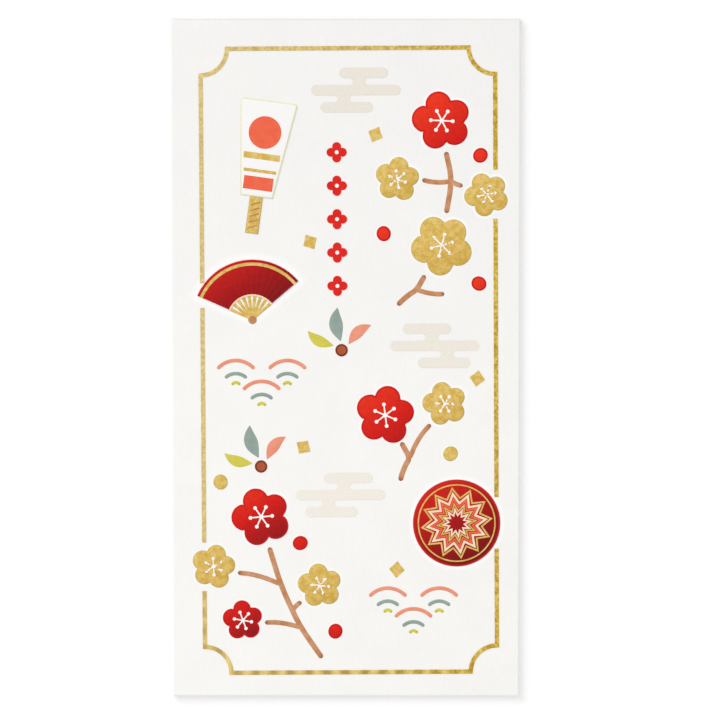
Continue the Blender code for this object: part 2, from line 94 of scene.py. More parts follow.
# The printed field inside the border line
BORDER_LINE = 0.0011
DASH_LENGTH = 0.0047
DASH_UNEVENNESS = 1.5
# The wave texture turns by this many radians for each unit at scale 1
WAVE_TEXTURE_RATE = 20
PRINT_TURN = math.radians(0.3)

# Ink: how far it stands above the card, and how deep its foot is sunk in it
INK = 0.00008
INK_FOOT = 0.00006
# The shoulder of an embossed motif, from the rim inwards: a step in, a step up
SHOULDER = [(0.00008, 0.00007), (0.00013, 0.00006), (0.00020, 0.00004), (0.00030, 0.00002)]
EMBOSS_RISE = sum(up for step, up in SHOULDER)
FACE_TOP = CARD_TOP + INK + EMBOSS_RISE
# How many points round off a disc, a large one, the fan's pivot and a crest's eye
DISC_POINTS = 48
ROUND_POINTS = 96
PIVOT_POINTS = 32
EYE_POINTS = 20

# Plum blossoms: a petal's middle stands at this share of the radius
PETAL_REACH = 0.565
PETAL_POINTS = 56
UNEVEN_PETALS = [1.00, 1.05, 0.98, 1.03, 0.96]
UNEVEN_NOTCH = math.radians(3)
# How far inside the notch a petal's outline is cut, as a share of the radius
PETAL_CUT = 0.05
RED_RADIUS = 0.0076
SMALL_RED_RADIUS = 0.0052
GOLD_RADIUS = 0.0057
LARGE_GOLD_RADIUS = 0.0079
STAMEN_COUNT = 6
RED_STAMEN_WIDTH = 0.00042
GOLD_STAMEN_WIDTH = 0.00036
STAMEN_HEART = 1.30
STAMEN_TURN = math.pi / 12
# A stamen starts at a share of its width, has its waist at a share of its reach, and narrows
STAMEN_START = 0.20
STAMEN_WAIST = 0.25
STAMEN_TAPER = (1.1, 0.9, 0.8)
ANTHER_SHARE = 1.15
ANTHER_SLOPE = 0.30
ANTHER_POINTS = 16
# Each kind's radius, the share of it that the stamens reach, and their width
BLOSSOM_KINDS = {
    "red": (RED_RADIUS, 0.37, RED_STAMEN_WIDTH),
    "red_blossom_small": (SMALL_RED_RADIUS, 0.43, RED_STAMEN_WIDTH * 0.9),
    "gold": (GOLD_RADIUS, 0.38, GOLD_STAMEN_WIDTH),
    "gold_blossom_large": (LARGE_GOLD_RADIUS, 0.36, GOLD_STAMEN_WIDTH * 1.1),
}
STAMEN_PROUD = 0.00002
STAMEN_THICKNESS = STAMEN_PROUD * 2.5

# The bare white margin that the print keeps round a motif, and its film's height
BLOSSOM_MARGIN = 0.0007
BUD_MARGIN = 0.0005
FIGURE_MARGIN = 0.0012
FAN_MARGIN = 0.0022
ARC_STEP = math.radians(8)
MARGIN_FILM = 0.000004
MARGIN_STEP = 0.000008
MARGIN_SLOPE = 0.8

# Each red blossom's turn in degrees, and how dark its painted shade is at its upper left and at its lower
# right
RED_BLOSSOMS = {
    "red_blossom_upper": (12, 0.00, 0.55),
    "red_blossom_middle": (-8, 0.10, 0.70),
    "red_blossom_lower": (20, 0.15, 1.00),
    "red_blossom_small": (5, 0.35, 1.00),
}
# Each gold blossom's turn in degrees
GOLD_BLOSSOMS = {
    "gold_blossom_1": -6,
    "gold_blossom_2": 25,
    "gold_blossom_3": 14,
    "gold_blossom_4": -12,
    "gold_blossom_5": 8,
    "gold_blossom_large": 30,
}
# Each fleck's turn in degrees, and how much wider than tall it is
FLECKS = [(20, 0.04), (-15, -0.05), (35, 0.02), (10, -0.03), (40, 0.05)]

# Painted shade: embossed pieces are painted darker this way, over a share of their size, from one darkness to
# another
PAINTED_SHADE_TOWARDS = Vector((0.55, -0.83, 0))
PAINTED_SHADE_REACH = 0.75
FULL_PAINTED_SHADES = (0.0, 1.0)
BALL_PAINTED_SHADES = (0.05, 0.95)

# Buds, flecks and crests
BUD_RADIUS = 0.0019
BUD_STRETCH = 1.035
BUD_TURN = 50
# How dark the red buds' painted shade is at their upper left and lower right, above and below the card's
# middle
UPPER_BUD_PAINTED_SHADES = (0.05, 0.20)
LOWER_BUD_PAINTED_SHADES = (0.30, 0.55)
FLECK_SIDE = 0.0030
FLECK_CORNER = 0.0002
FLECK_CORNER_STEPS = 3
FLECK_HOLLOW = 0.95
CREST_RADIUS = 0.0026
CREST_EYE = 0.0005
CREST_REACH = 0.56

# Stems
STEM_WIDTH = 0.0014
TWIG_WIDTH = 0.00125
STEM_THICKNESS = 0.00014
STEM_TIP_GAP = 0.0007
TIP_STAIN = 0.0011
UPPER_STEM_KINK = Vector((0.0002, 0.0004))
# A bowed line's two inner places as shares of its length, and how far aside it bows
BOW_PLACES = (0.35, 0.70)
TWIG_BOW = 0.06
SLIGHT_BOW = 0.05
FAINT_BOW = 0.04

# Knots of the stems, as shares of the printed field's half width and half height
UPPER_KNOT = (0.700, 0.575)
HANGING_END = (0.330, 0.180)
HANGING_KNOT = (0.462, 0.229)
HANGING_TIP = (0.650, 0.215)
MIDDLE_END = (0.343, -0.384)
MIDDLE_KNOT = (0.410, -0.310)
LOWER_END = (-0.198, -0.954)
LOWER_FORK = (-0.343, -0.855)
LOWER_JOINT = (-0.400, -0.800)
LOWER_ELBOW = (-0.480, -0.715)

# The round end of a line: how far in from its tip, in half widths, and the share of its width
BLUNT_END = [(0, 0.12), (0.15, 0.52), (0.5, 0.87), (1, 1.0)]
# A drawn line's height, and how finely it and an arc's route are divided
LINE_THICKNESS = 0.00012
LINE_FACETS = 3
LINE_STEPS = 8
ARC_POINTS = 9

# Leaf sprigs: each one's place in the printed field, and its turn in degrees
LEAF_SPRIGS = {"leaf_sprig_1": (-0.053, 0.037, 0), "leaf_sprig_2": (-0.608, -0.335, 10)}
# Each leaf's direction in degrees, its length and width
LEAVES = {
    "yellow": (150, 0.0076, 0.0027),
    "grey": (95, 0.0086, 0.0033),
    "coral": (40, 0.0076, 0.0028),
}
LEAF_GAP = 0.0024
LEAF_CURL = 0.0009
LEAF_THICKNESS = 0.00012
# A leaf from its root to its tip: shares of its length, of its curl and of its width
LEAF_STROKE = [(0.0, 0.0, 0.06), (0.25, 0.6, 0.85), (0.52, 1.0, 1.15), (0.80, 0.7, 0.72), (1.0, 0.0, 0.05)]
BERRY_RADIUS = 0.0016
BERRY_SHOULDER = [(0.00035, 0.00003)]
# The paler heart of a berry: its share of the radius, its height and its shoulder
BERRY_HEART = 0.72
BERRY_HEART_HEIGHT = 0.00005
BERRY_HEART_SHOULDER = [(0.0003, 0.00002)]

# Wave fans: the place of each group, and of each fan in it, in pitches across and drops up
WAVE_GROUPS = [(-0.60, -0.055), (0.43, -0.79)]
WAVE_FANS = [(-0.5, 0.5), (0.5, 0.5), (0.0, -0.5)]
WAVE_PITCH = 0.0133
WAVE_DROP = 0.0054
# Chord, rise and line width of each arc, and how far it sits below the first
WAVES = {
    "coral": (0.0096, 0.0022, 0.00100, 0.0000),
    "grey": (0.0056, 0.0012, 0.00095, 0.0024),
    "yellow": (0.0020, 0.0007, 0.00085, 0.0042),
}

# Thread ball: each star's outer and inner radius, and the width of its thread
TEMARI_POINTS = 12
TEMARI_STARS = {
    "gold": [(0.0094, 0.0068, 0.00042), (0.0054, 0.0034, 0.00036)],
    "cream": [(0.0082, 0.0056, 0.00055), (0.0041, 0.0024, 0.00040)],
    "coral": [(0.0068, 0.0045, 0.00045)],
}
TEMARI_HOOP = 0.0101
TEMARI_HOOP_LINE = 0.00035
THREAD = 0.00006

# Folding fan
FAN = (-0.660, 0.136)
FAN_RADIUS = 0.0155
FAN_LEAF_INNER = 0.0062
FAN_HALF_ANGLE = math.radians(58)
FAN_TURN = math.radians(8)
FAN_FOLDS = 14
FAN_PLEAT = 0.00010
FAN_GOLD_LINE = 0.0008
FAN_GOLD_SET_IN = 0.0007
FAN_CREAM_LINE = 0.0004
FAN_PIVOT = 0.0011
FAN_RIBS = 9
FAN_RIB_SPREAD = math.radians(56)
RIB_WIDTH = 0.0009
RIB_THICKNESS = 0.00018
# A rib from the pivot to the leaf: shares of the way and of its width
RIB_STROKE = [(0.06, 0.5), (0.5, 0.75), (1.0, 1.0)]

# Battledore
PADDLE = (-0.581, 0.682)
PADDLE_TURN = math.radians(-8)
PADDLE_TOP_WIDTH = 0.0150
PADDLE_NECK_WIDTH = 0.0085
PADDLE_BLADE = 0.0250
PADDLE_CORNER = 0.0010
PADDLE_HANDLE_WIDTH = 0.0034
PADDLE_HANDLE = 0.0095
PADDLE_RIM = 0.0009
# Height on the board and tallness of the gold bands and the coral wedge
PADDLE_BANDS = [(-0.0020, 0.0016), (-0.0058, 0.0008)]
PADDLE_WEDGE = (-0.0090, 0.0034)
SUN_RADIUS = 0.0042
SUN_UP = 0.0042
WRAP_COUNT = 5
WRAP_START = 0.0017
WRAP_PITCH = 0.0015
WRAP_REACH = 0.0012
WRAP_SLANT = 0.0005
WRAP_WIDTH = 0.0004

# The view, as a camera a metre above the table sees it; its lens and sensor are in millimetres
CAMERA_TARGET = Vector((0.00368, -0.00036, CARD_TOP))
CAMERA_DISTANCE = 1.0
CAMERA_TILT = math.radians(3.5)
CAMERA_LENS = 193.7
CAMERA_SENSOR = 36
CAMERA_SIGHT = 10

# The light: the share that comes from all sides, and the lamp from the upper left
ROOM_STRENGTH = 0.82
LAMP_STRENGTH = 1.13
LAMP_ANGLE = math.radians(40)
LAMP_TOWARDS = Vector((0.70, -0.71, -0.58))
TABLE_DEPTH = 0.0002
TABLE_SIZE = 3.0
TABLE_SHIFT = 0.4
TABLE_SHARE = 0.96
TABLE_GLOW = 0.06
TABLE_BOUNCE = 0.80

# How wide the marks in the finishes are
CARD_FIBRE = 0.0007
CARD_CLOUD = 0.012
CARD_TOOTH = 0.00035
GLUE_PATCH = 0.0015
GLUE_WRINKLE = 0.0010
GOLD_GRAIN = 0.00030
GOLD_PATCH = 0.0013
GOLD_TINT = 0.0009
RED_MOTTLE = 0.0007
RED_GRAIN = 0.00030
PRINT_GRAIN = 0.00040
PRINT_CLOUD = 0.0022
STEM_PATCH = 0.0020
WORN_SPECK = 0.0006
# How deep their fine relief is, and how much a print reflects
FINE_RELIEF = 0.00002
GOLD_RELIEF = 0.00003
GLUE_RELIEF = 0.00005
PRINT_GLOSS = 0.12

border_boxes = [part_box("border_" + side) for side in ("top", "bottom", "left", "right")]
field_low = Vector((min(low.x for low, high in border_boxes), min(low.y for low, high in border_boxes)))
field_high = Vector((max(high.x for low, high in border_boxes), max(high.y for low, high in border_boxes)))
FIELD_MIDDLE = (field_low + field_high) / 2
# The print is turned a little on the card, which widens its box
turned_half = (field_high - field_low) / 2 - Vector((BORDER_LINE, BORDER_LINE)) / 2
FIELD_HALF_WIDTH = turned_half.x - turned_half.y * math.sin(PRINT_TURN)
FIELD_HALF_HEIGHT = turned_half.y - turned_half.x * math.sin(PRINT_TURN)


def spot(across, up):
    """A place in the printed field, from shares of its half width and half height."""
    place = Vector((across * FIELD_HALF_WIDTH, up * FIELD_HALF_HEIGHT))
    place.rotate(Matrix.Rotation(PRINT_TURN, 2))
    return FIELD_MIDDLE + place


# Modelling


def deselect():
    """Start the next step with nothing selected."""
    bpy.ops.object.select_all(action="DESELECT")


def activate(piece):
    """Select one object alone."""
    deselect()
    piece.select_set(True)
    bpy.context.view_layer.objects.active = piece


def edit(piece):
    """Open one object in edit mode with nothing in it selected."""
    activate(piece)
    bpy.ops.object.mode_set(mode="EDIT")
    bpy.ops.mesh.select_all(action="DESELECT")


def select_whole():
    """In edit mode, select everything."""
    bpy.ops.mesh.select_all(action="SELECT")


def leave_edit():
    """Go back to object mode."""
    bpy.ops.object.mode_set(mode="OBJECT")


def close_edit():
    """Point all faces outwards and leave edit mode."""
    select_whole()
    bpy.ops.mesh.normals_make_consistent(inside=False)
    leave_edit()


def middle_of(item):
    """Where a vertex is, or the middle of an edge or a face."""
    if isinstance(item, bmesh.types.BMVert):
        return item.co
    points = [vert.co for vert in item.verts]
    return sum(points, Vector()) / len(points)


def pick(kind, test):
    """In edit mode, select the vertices, edges or faces whose middle passes a test."""
    bpy.ops.mesh.select_mode(type=kind)
    bpy.ops.mesh.select_all(action="DESELECT")
    mesh = bpy.context.object.data
    bm = bmesh.from_edit_mesh(mesh)
    items = {"VERT": bm.verts, "EDGE": bm.edges, "FACE": bm.faces}[kind]
    for item in items:
        if test(middle_of(item)):
            item.select_set(True)
    bm.select_flush_mode()
    bmesh.update_edit_mesh(mesh)


def pull(x=0, y=0, z=0):
    """Extrude the selection along a vector."""
    bpy.ops.mesh.extrude_region_move(TRANSFORM_OT_translate={"value": (x, y, z)})


def shift(x=0, y=0, z=0):
    """Move the selection."""
    bpy.ops.transform.translate(value=(x, y, z))


def resize(x, y, z=1, about=(0, 0, 0)):
    """Resize the selection about a place."""
    bpy.ops.transform.resize(value=(x, y, z), center_override=about)


def round_corners(radius, steps=CORNER_STEPS):
    """Round the selected corners of a flat outline."""
    bpy.ops.mesh.bevel(offset=radius, segments=steps, affect="VERTICES")


def cut(place, outwards, clear=True):
    """Cut the selection along a plane, and clear what lies outwards of it."""
    bpy.ops.mesh.bisect(plane_co=place, plane_no=outwards, clear_outer=clear, threshold=HAIRLINE / 100)


def place_in_mesh(piece):
    """Put the object's place, turn and size into its mesh."""
    activate(piece)
    bpy.ops.object.transform_apply(location=True, rotation=True, scale=True)


def own_box(piece):
    """Lowest and highest corner of a mesh that sits at the origin."""
    corners = [vert.co for vert in piece.data.vertices]
    low = Vector(min(co[axis] for co in corners) for axis in range(3))
    high = Vector(max(co[axis] for co in corners) for axis in range(3))
    return low, high


def flat_middle(low, high):
    """The middle of a box, as seen from above."""
    return ((low + high) / 2).xy


def copy_of(master, name):
    """A copy with its own mesh."""
    activate(master)
    bpy.ops.object.duplicate(linked=False)
    piece = bpy.context.object
    piece.name = name
    piece.data.name = name
    return piece


def stand(piece, place, turn=0.0):
    """Turn a piece that is modelled round the origin, and put it at a place on the card."""
    piece.rotation_euler = (0, 0, turn)
    piece.location = (place[0], place[1], 0)
    place_in_mesh(piece)


def seat(piece, node, turn=0.0):
    """Turn a piece and put it where its CAD node is."""
    stand(piece, (0, 0), turn)
    low, high = own_box(piece)
    node_low, node_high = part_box(node)
    offset = (node_low + node_high - low - high) / 2
    stand(piece, (offset.x, offset.y))


def join(name, parts):
    """Join parts into one piece."""
    deselect()
    for part in parts:
        part.select_set(True)
    bpy.context.view_layer.objects.active = parts[0]
    if len(parts) > 1:
        bpy.ops.object.join()
    piece = bpy.context.object
    piece.name = name
    piece.data.name = name
    return piece


def smooth(piece, degrees=MOTIF_SMOOTH):
    """Smooth shading across the soft edges."""
    activate(piece)
    bpy.ops.object.shade_smooth_by_angle(angle=math.radians(degrees))


def dress(piece, material, nodes=(), body="envelope"):
    """Give a piece its finish, the nodes it stands for and its body."""
    piece.data.materials.clear()
    piece.data.materials.append(material)
    if nodes:
        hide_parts(*nodes)
    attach(piece, body)
    return piece


def disc(radius, place=(0, 0), height=CARD_TOP - INK_FOOT, points=DISC_POINTS):
    """A flat filled circle, ready to be raised."""
    deselect()
    bpy.ops.mesh.primitive_circle_add(
        vertices=points, radius=radius, fill_type="NGON", location=(place[0], place[1], height)
    )
    piece = bpy.context.object
    place_in_mesh(piece)
    return piece


def plate(width, tall, up, height, across=0):
    """A flat upright rectangle, ready to be raised."""
    deselect()
    bpy.ops.mesh.primitive_plane_add(size=1, location=(across, up, height))
    piece = bpy.context.object
    piece.scale = (width, tall, 1)
    place_in_mesh(piece)
    return piece


def face_up():
    """In edit mode, select all faces of a flat outline and point them up."""
    bpy.ops.mesh.select_mode(type="FACE")
    select_whole()
    faces = bmesh.from_edit_mesh(bpy.context.object.data).faces
    if sum(face.normal.z for face in faces) < 0:
        bpy.ops.mesh.flip_normals()


def raise_ink(piece, thickness=INK_FOOT + INK, shoulder=()):
    """Raise a flat outline into a film of ink, then its top up a soft shoulder."""
    edit(piece)
    face_up()
    pull(z=thickness)
    for step_in, step_up in shoulder:
        bpy.ops.mesh.inset(thickness=step_in, depth=step_up)
    close_edit()
    smooth(piece)
    return piece


def petal_outline(radius, petals, share=PETAL_REACH, sizes=()):
    """A flower's filled outline: one round petal, cut to its wedge and spun round the middle.

    Sizes make its petals uneven, as drawn by hand.
    """
    reach = share * radius
    round_radius = radius - reach
    half = math.pi / petals
    deselect()
    bpy.ops.mesh.primitive_circle_add(
        vertices=PETAL_POINTS, radius=round_radius, location=(reach, 0, CARD_TOP - INK_FOOT)
    )
    flower = bpy.context.object
    place_in_mesh(flower)
    edit(flower)
    for side in (1, -1):
        select_whole()
        cut((0, 0, 0), (-math.sin(half), side * math.cos(half), 0))
    meeting = reach * math.cos(half) + math.sqrt(round_radius**2 - (reach * math.sin(half)) ** 2)
    inner_line = meeting * math.cos(half) - PETAL_CUT * radius
    select_whole()
    cut((inner_line, 0, 0), (-1, 0, 0))
    select_whole()
    bpy.ops.mesh.spin(steps=petals, angle=2 * math.pi, center=(0, 0, 0), axis=(0, 0, 1), dupli=True)
    select_whole()
    bpy.ops.mesh.remove_doubles(threshold=HAIRLINE / 10)
    for number, size in enumerate(sizes):
        centre = Vector((reach, 0)) @ Matrix.Rotation(-2 * math.pi * number / petals, 2)
        pick("VERT", lambda m: (m.xy - centre).length < round_radius + HAIRLINE
             and abs(m.xy.angle_signed(centre)) < half - UNEVEN_NOTCH)
        resize(size, size, about=(centre.x, centre.y, 0))
    select_whole()
    bpy.ops.mesh.edge_face_add()
    leave_edit()
    return flower


def bare_margin(outline, width, name, place=(0, 0), turn=0.0):
    """The bare white margin under a motif, from its wider outline: it fades out into the card."""
    raise_ink(outline, INK_FOOT + MARGIN_FILM, [(width * MARGIN_SLOPE, MARGIN_STEP)])
    outline.name = name
    stand(outline, place, turn)
    return dress(outline, margin_material)


def blunt(points, width):
    """A route whose line has round ends: places with the share of the full width at each."""
    points = [Vector(point) for point in points]
    ends = []
    for tip, inner in ((points[0], points[1]), (points[-1], points[-2])):
        along_line = (inner - tip).normalized() * width / 2
        ends.append([(tip + along_line * far, share) for far, share in BLUNT_END])
    return ends[0] + [(point, 1.0) for point in points[1:-1]] + ends[1][::-1]


def draw(name, routes, width, base=CARD_TOP, thickness=LINE_THICKNESS):
    """Lines drawn along routes as bevelled curves, then pressed flat onto a surface."""
    deselect()
    curve = bpy.data.curves.new(name, "CURVE")
    curve.dimensions = "3D"
    curve.bevel_depth = width / 2
    curve.bevel_resolution = LINE_FACETS
    curve.resolution_u = LINE_STEPS
    curve.use_fill_caps = True
    for route in routes:
        spline = curve.splines.new("NURBS")
        spline.points.add(len(route) - 1)
        for point, (place, share) in zip(spline.points, route):
            point.co = (place[0], place[1], 0, 1)
            point.radius = share
        spline.order_u = 3
        spline.use_endpoint_u = True
    line = bpy.data.objects.new(name, curve)
    bpy.context.collection.objects.link(line)
    activate(line)
    bpy.ops.object.convert(target="MESH")
    line = bpy.context.object
    line.scale = (1, 1, thickness / width)
    line.location = (0, 0, base)
    place_in_mesh(line)
    edit(line)
    select_whole()
    bpy.ops.mesh.remove_doubles(threshold=HAIRLINE / 100)
    close_edit()
    smooth(line, LINE_SMOOTH)
    return line


def arc_route(middle, chord, rise, width):
    """A route along an arc that rises over its chord, with round ends."""
    radius = (chord**2 / 4 + rise**2) / (2 * rise)
    half = math.asin(chord / 2 / radius)
    points = []
    for step in range(ARC_POINTS):
        angle = half * (2 * step / (ARC_POINTS - 1) - 1)
        points.append(
            (middle[0] + radius * math.sin(angle), middle[1] + radius * math.cos(angle) - radius + rise)
        )
    return blunt(points, width)


def painted_shade_across(piece, first, last):
    """Store a piece's painted shade: how dark it is from its upper left to its lower right."""
    low, high = own_box(piece)
    middle = (low + high) / 2
    reach = (high - low).length / 2 * PAINTED_SHADE_REACH
    layer = piece.data.attributes.new("shade", "FLOAT", "POINT")
    for vert, value in zip(piece.data.vertices, layer.data):
        share = 0.5 + 0.5 * (vert.co - middle).dot(PAINTED_SHADE_TOWARDS) / reach
        value.value = first + (last - first) * min(max(share, 0), 1)


def stain_tips(piece, tips):
    """Store how near each part of a stem is to the tips of its twigs."""
    layer = piece.data.attributes.new("tip", "FLOAT", "POINT")
    for vert, value in zip(piece.data.vertices, layer.data):
        nearest = min(((vert.co.xy - Vector(tip)).length for tip in tips), default=TIP_STAIN)
        value.value = max(1 - nearest / TIP_STAIN, 0)


# Finishes


def srgb(*levels):
    """A colour as it looks on screen, 0 to 255, in the renderer's own units."""
    shares = [level / 255 for level in levels]
    linear = [s / 12.92 if s <= 0.04045 else ((s + 0.055) / 1.055) ** 2.4 for s in shares]
    return (*linear, 1.0)


def new_finish(name, roughness, metallic=0.0, gloss=PRINT_GLOSS):
    """A material with a Principled shader, and its tree."""
    material = bpy.data.materials.new(name)
    material.use_nodes = True
    tree = material.node_tree
    shader = tree.nodes["Principled BSDF"]
    shader.inputs["Roughness"].default_value = roughness
    shader.inputs["Metallic"].default_value = metallic
    shader.inputs["Specular IOR Level"].default_value = gloss
    return material, tree, shader


def own_place(tree):
    """Where a point is on the object itself."""
    return tree.nodes.new("ShaderNodeTexCoord").outputs["Object"]


def speckle(tree, size, detail=2.0, stretch=(1, 1, 1), turn=0.0, rough=0.5):
    """Noise on the object's own coordinates, with marks of a given size."""
    mapping = tree.nodes.new("ShaderNodeMapping")
    mapping.inputs["Scale"].default_value = stretch
    mapping.inputs["Rotation"].default_value = (0, 0, turn)
    noise = tree.nodes.new("ShaderNodeTexNoise")
    noise.inputs["Scale"].default_value = 1 / size
    noise.inputs["Detail"].default_value = detail
    noise.inputs["Roughness"].default_value = rough
    tree.links.new(own_place(tree), mapping.inputs["Vector"])
    tree.links.new(mapping.outputs["Vector"], noise.inputs["Vector"])
    return noise.outputs["Fac"]


def dash(tree, axis):
    """Bands across a line that runs along an axis, a dash and its gap to each length."""
    wave = tree.nodes.new("ShaderNodeTexWave")
    wave.bands_direction = axis
    wave.inputs["Scale"].default_value = 2 * math.pi / (WAVE_TEXTURE_RATE * DASH_LENGTH)
    wave.inputs["Distortion"].default_value = DASH_UNEVENNESS
    wave.inputs["Detail"].default_value = 2.0
    tree.links.new(own_place(tree), wave.inputs["Vector"])
    return wave.outputs["Fac"]


def ramp(tree, factor, stops):
    """Colours along a factor; each stop is a place and a colour."""
    made = tree.nodes.new("ShaderNodeValToRGB")
    elements = made.color_ramp.elements
    while len(elements) < len(stops):
        elements.new(0.5)
    for element, (place, colour) in zip(elements, stops):
        element.position = place
        element.color = colour
    tree.links.new(factor, made.inputs["Fac"])
    return made.outputs["Color"]


def between(tree, factor, low, high, first=0.0, last=1.0):
    """A value spread from one range to another and held inside it."""
    made = tree.nodes.new("ShaderNodeMapRange")
    for socket, value in (("From Min", low), ("From Max", high), ("To Min", first), ("To Max", last)):
        made.inputs[socket].default_value = value
    tree.links.new(factor, made.inputs["Value"])
    return made.outputs["Result"]


def mix_values(tree, share, first, second):
    """A value between two others, by the share of the second."""
    made = tree.nodes.new("ShaderNodeMix")
    if isinstance(share, float):
        made.inputs["Factor"].default_value = share
    else:
        tree.links.new(share, made.inputs["Factor"])
    tree.links.new(first, made.inputs["A"])
    tree.links.new(second, made.inputs["B"])
    return made.outputs["Result"]


def product(tree, first, second):
    """Two values multiplied."""
    made = tree.nodes.new("ShaderNodeMath")
    made.operation = "MULTIPLY"
    tree.links.new(first, made.inputs[0])
    tree.links.new(second, made.inputs[1])
    return made.outputs["Value"]


def blend_colours(tree, factor, first, second, kind="MIX"):
    """Two colours mixed by a factor; each is a colour or a socket."""
    made = tree.nodes.new("ShaderNodeMix")
    made.data_type = "RGBA"
    made.blend_type = kind
    if isinstance(factor, float):
        made.inputs["Factor"].default_value = factor
    else:
        tree.links.new(factor, made.inputs["Factor"])
    for socket, colour in ((made.inputs[6], first), (made.inputs[7], second)):
        if isinstance(colour, tuple):
            socket.default_value = colour
        else:
            tree.links.new(colour, socket)
    return made.outputs[2]


def attribute(tree, name):
    """A value stored on the piece's points."""
    made = tree.nodes.new("ShaderNodeAttribute")
    made.attribute_name = name
    return made.outputs["Fac"]


def along(tree, axis):
    """How far a place lies along one axis of the object."""
    split = tree.nodes.new("ShaderNodeSeparateXYZ")
    tree.links.new(own_place(tree), split.inputs["Vector"])
    return split.outputs[axis]


def up_card(tree, low, high):
    """0 to 1 between two shares of the card's half height."""
    return between(tree, along(tree, "Y"), low * FRONT_HALF_HEIGHT, high * FRONT_HALF_HEIGHT)


def across_card(tree, low, high, first=0.0, last=1.0):
    """A value spread between two shares of the card's half width."""
    return between(tree, along(tree, "X"), low * FRONT_HALF_WIDTH, high * FRONT_HALF_WIDTH, first, last)


def rim(tree, foot, crown):
    """1 on the low rim of an embossed piece, 0 on its face, from the share of its rise."""
    base = CARD_TOP + INK
    return between(tree, along(tree, "Z"), base + foot * EMBOSS_RISE, base + crown * EMBOSS_RISE, 1.0, 0.0)


def grained(tree, grain, colour, paler):
    """A print's two tints, spread by the card's grain."""
    return ramp(tree, grain, [(0.32, colour), (0.72, paler)])


def paint(tree, shader, colour, height, strength=0.2, depth=FINE_RELIEF):
    """Give a finish its colour, and fine relief from a height."""
    tree.links.new(colour, shader.inputs["Base Color"])
    bump = tree.nodes.new("ShaderNodeBump")
    bump.inputs["Strength"].default_value = strength
    bump.inputs["Distance"].default_value = depth
    tree.links.new(height, bump.inputs["Height"])
    tree.links.new(bump.outputs["Normal"], shader.inputs["Normal"])


def card_finish(name="white_card", margin=False):
    """White uncoated card: short fibres, a faint cloudiness, a soft tooth, painted shade a little greyer
    towards the top; bare in a print's margin.
    """
    material, tree, shader = new_finish(name, 0.90, gloss=0.15)
    fibres = speckle(tree, CARD_FIBRE, 4.0, (1, 0.30, 1), 0.5, 0.6)
    clouds = speckle(tree, CARD_CLOUD)
    fine = ramp(tree, fibres, [(0.30, srgb(247, 246, 242)), (0.70, srgb(250, 249, 246))])
    cloudy = ramp(tree, clouds, [(0.35, srgb(253, 253, 254)), (0.65, srgb(255, 255, 255))])
    colour = blend_colours(tree, 1.0, fine, cloudy, "MULTIPLY")
    # Painted shade: the card is painted a little greyer towards its top
    up = up_card(tree, -0.2, 1)
    painted_top_shade = ramp(tree, up, [(0.0, srgb(255, 255, 255)), (1.0, srgb(251, 251, 252))])
    colour = blend_colours(tree, 1.0, colour, painted_top_shade, "MULTIPLY")
    if margin:
        inside = between(tree, along(tree, "Z"), CARD_TOP + MARGIN_FILM, CARD_TOP + MARGIN_FILM + MARGIN_STEP)
        colour = blend_colours(tree, inside, colour, srgb(255, 255, 254))
    paint(tree, shader, colour, speckle(tree, CARD_TOOTH, 3.0), 0.10)
    return material


def glue_finish():
    """Dried glue, a little yellow and uneven."""
    material, tree, shader = new_finish("dry_glue", 0.45, gloss=0.5)
    colour = ramp(tree, speckle(tree, GLUE_PATCH), [(0.3, srgb(225, 220, 195)), (0.7, srgb(240, 236, 218))])
    paint(tree, shader, colour, speckle(tree, GLUE_WRINKLE), 0.4, GLUE_RELIEF)
    return material


def gold_finish(name, embossed):
    """Matte gold ink, mottled, with painted shade darker towards its lower right; on an embossed piece it has
    a thin olive rim, painted shade on its low shoulder.
    """
    material, tree, shader = new_finish(name, 0.55, 0.15, gloss=0.2)
    fine = speckle(tree, GOLD_GRAIN, 3.0, rough=0.7)
    patches = ramp(
        tree,
        speckle(tree, GOLD_PATCH, 3.0, rough=0.6),
        [(0.38, srgb(198, 160, 64)), (0.50, srgb(221, 187, 96)), (0.61, srgb(240, 212, 146))],
    )
    grains = ramp(
        tree,
        fine,
        [(0.34, srgb(190, 156, 64)), (0.50, srgb(222, 186, 96)), (0.66, srgb(244, 216, 150))],
    )
    tints = ramp(tree, speckle(tree, GOLD_TINT), [(0.38, srgb(206, 192, 78)), (0.62, srgb(236, 176, 88))])
    body = blend_colours(tree, 0.25, blend_colours(tree, 0.4, patches, grains), tints)
    # Painted shade: darker towards the lower right, from the stored painted shade
    painted_shade_tint = ramp(tree, attribute(tree, "shade"), [(0.3, (1, 1, 1, 1)), (1.0, (0.92, 0.87, 0.72, 1))])
    body = blend_colours(tree, 1.0, body, painted_shade_tint, "MULTIPLY")
    # The thin olive rim: painted shade on the emboss's low shoulder
    if embossed:
        body = blend_colours(tree, rim(tree, 0.2, 0.8), body, srgb(190, 170, 92))
    paint(tree, shader, body, fine, 0.25, GOLD_RELIEF)
    return material


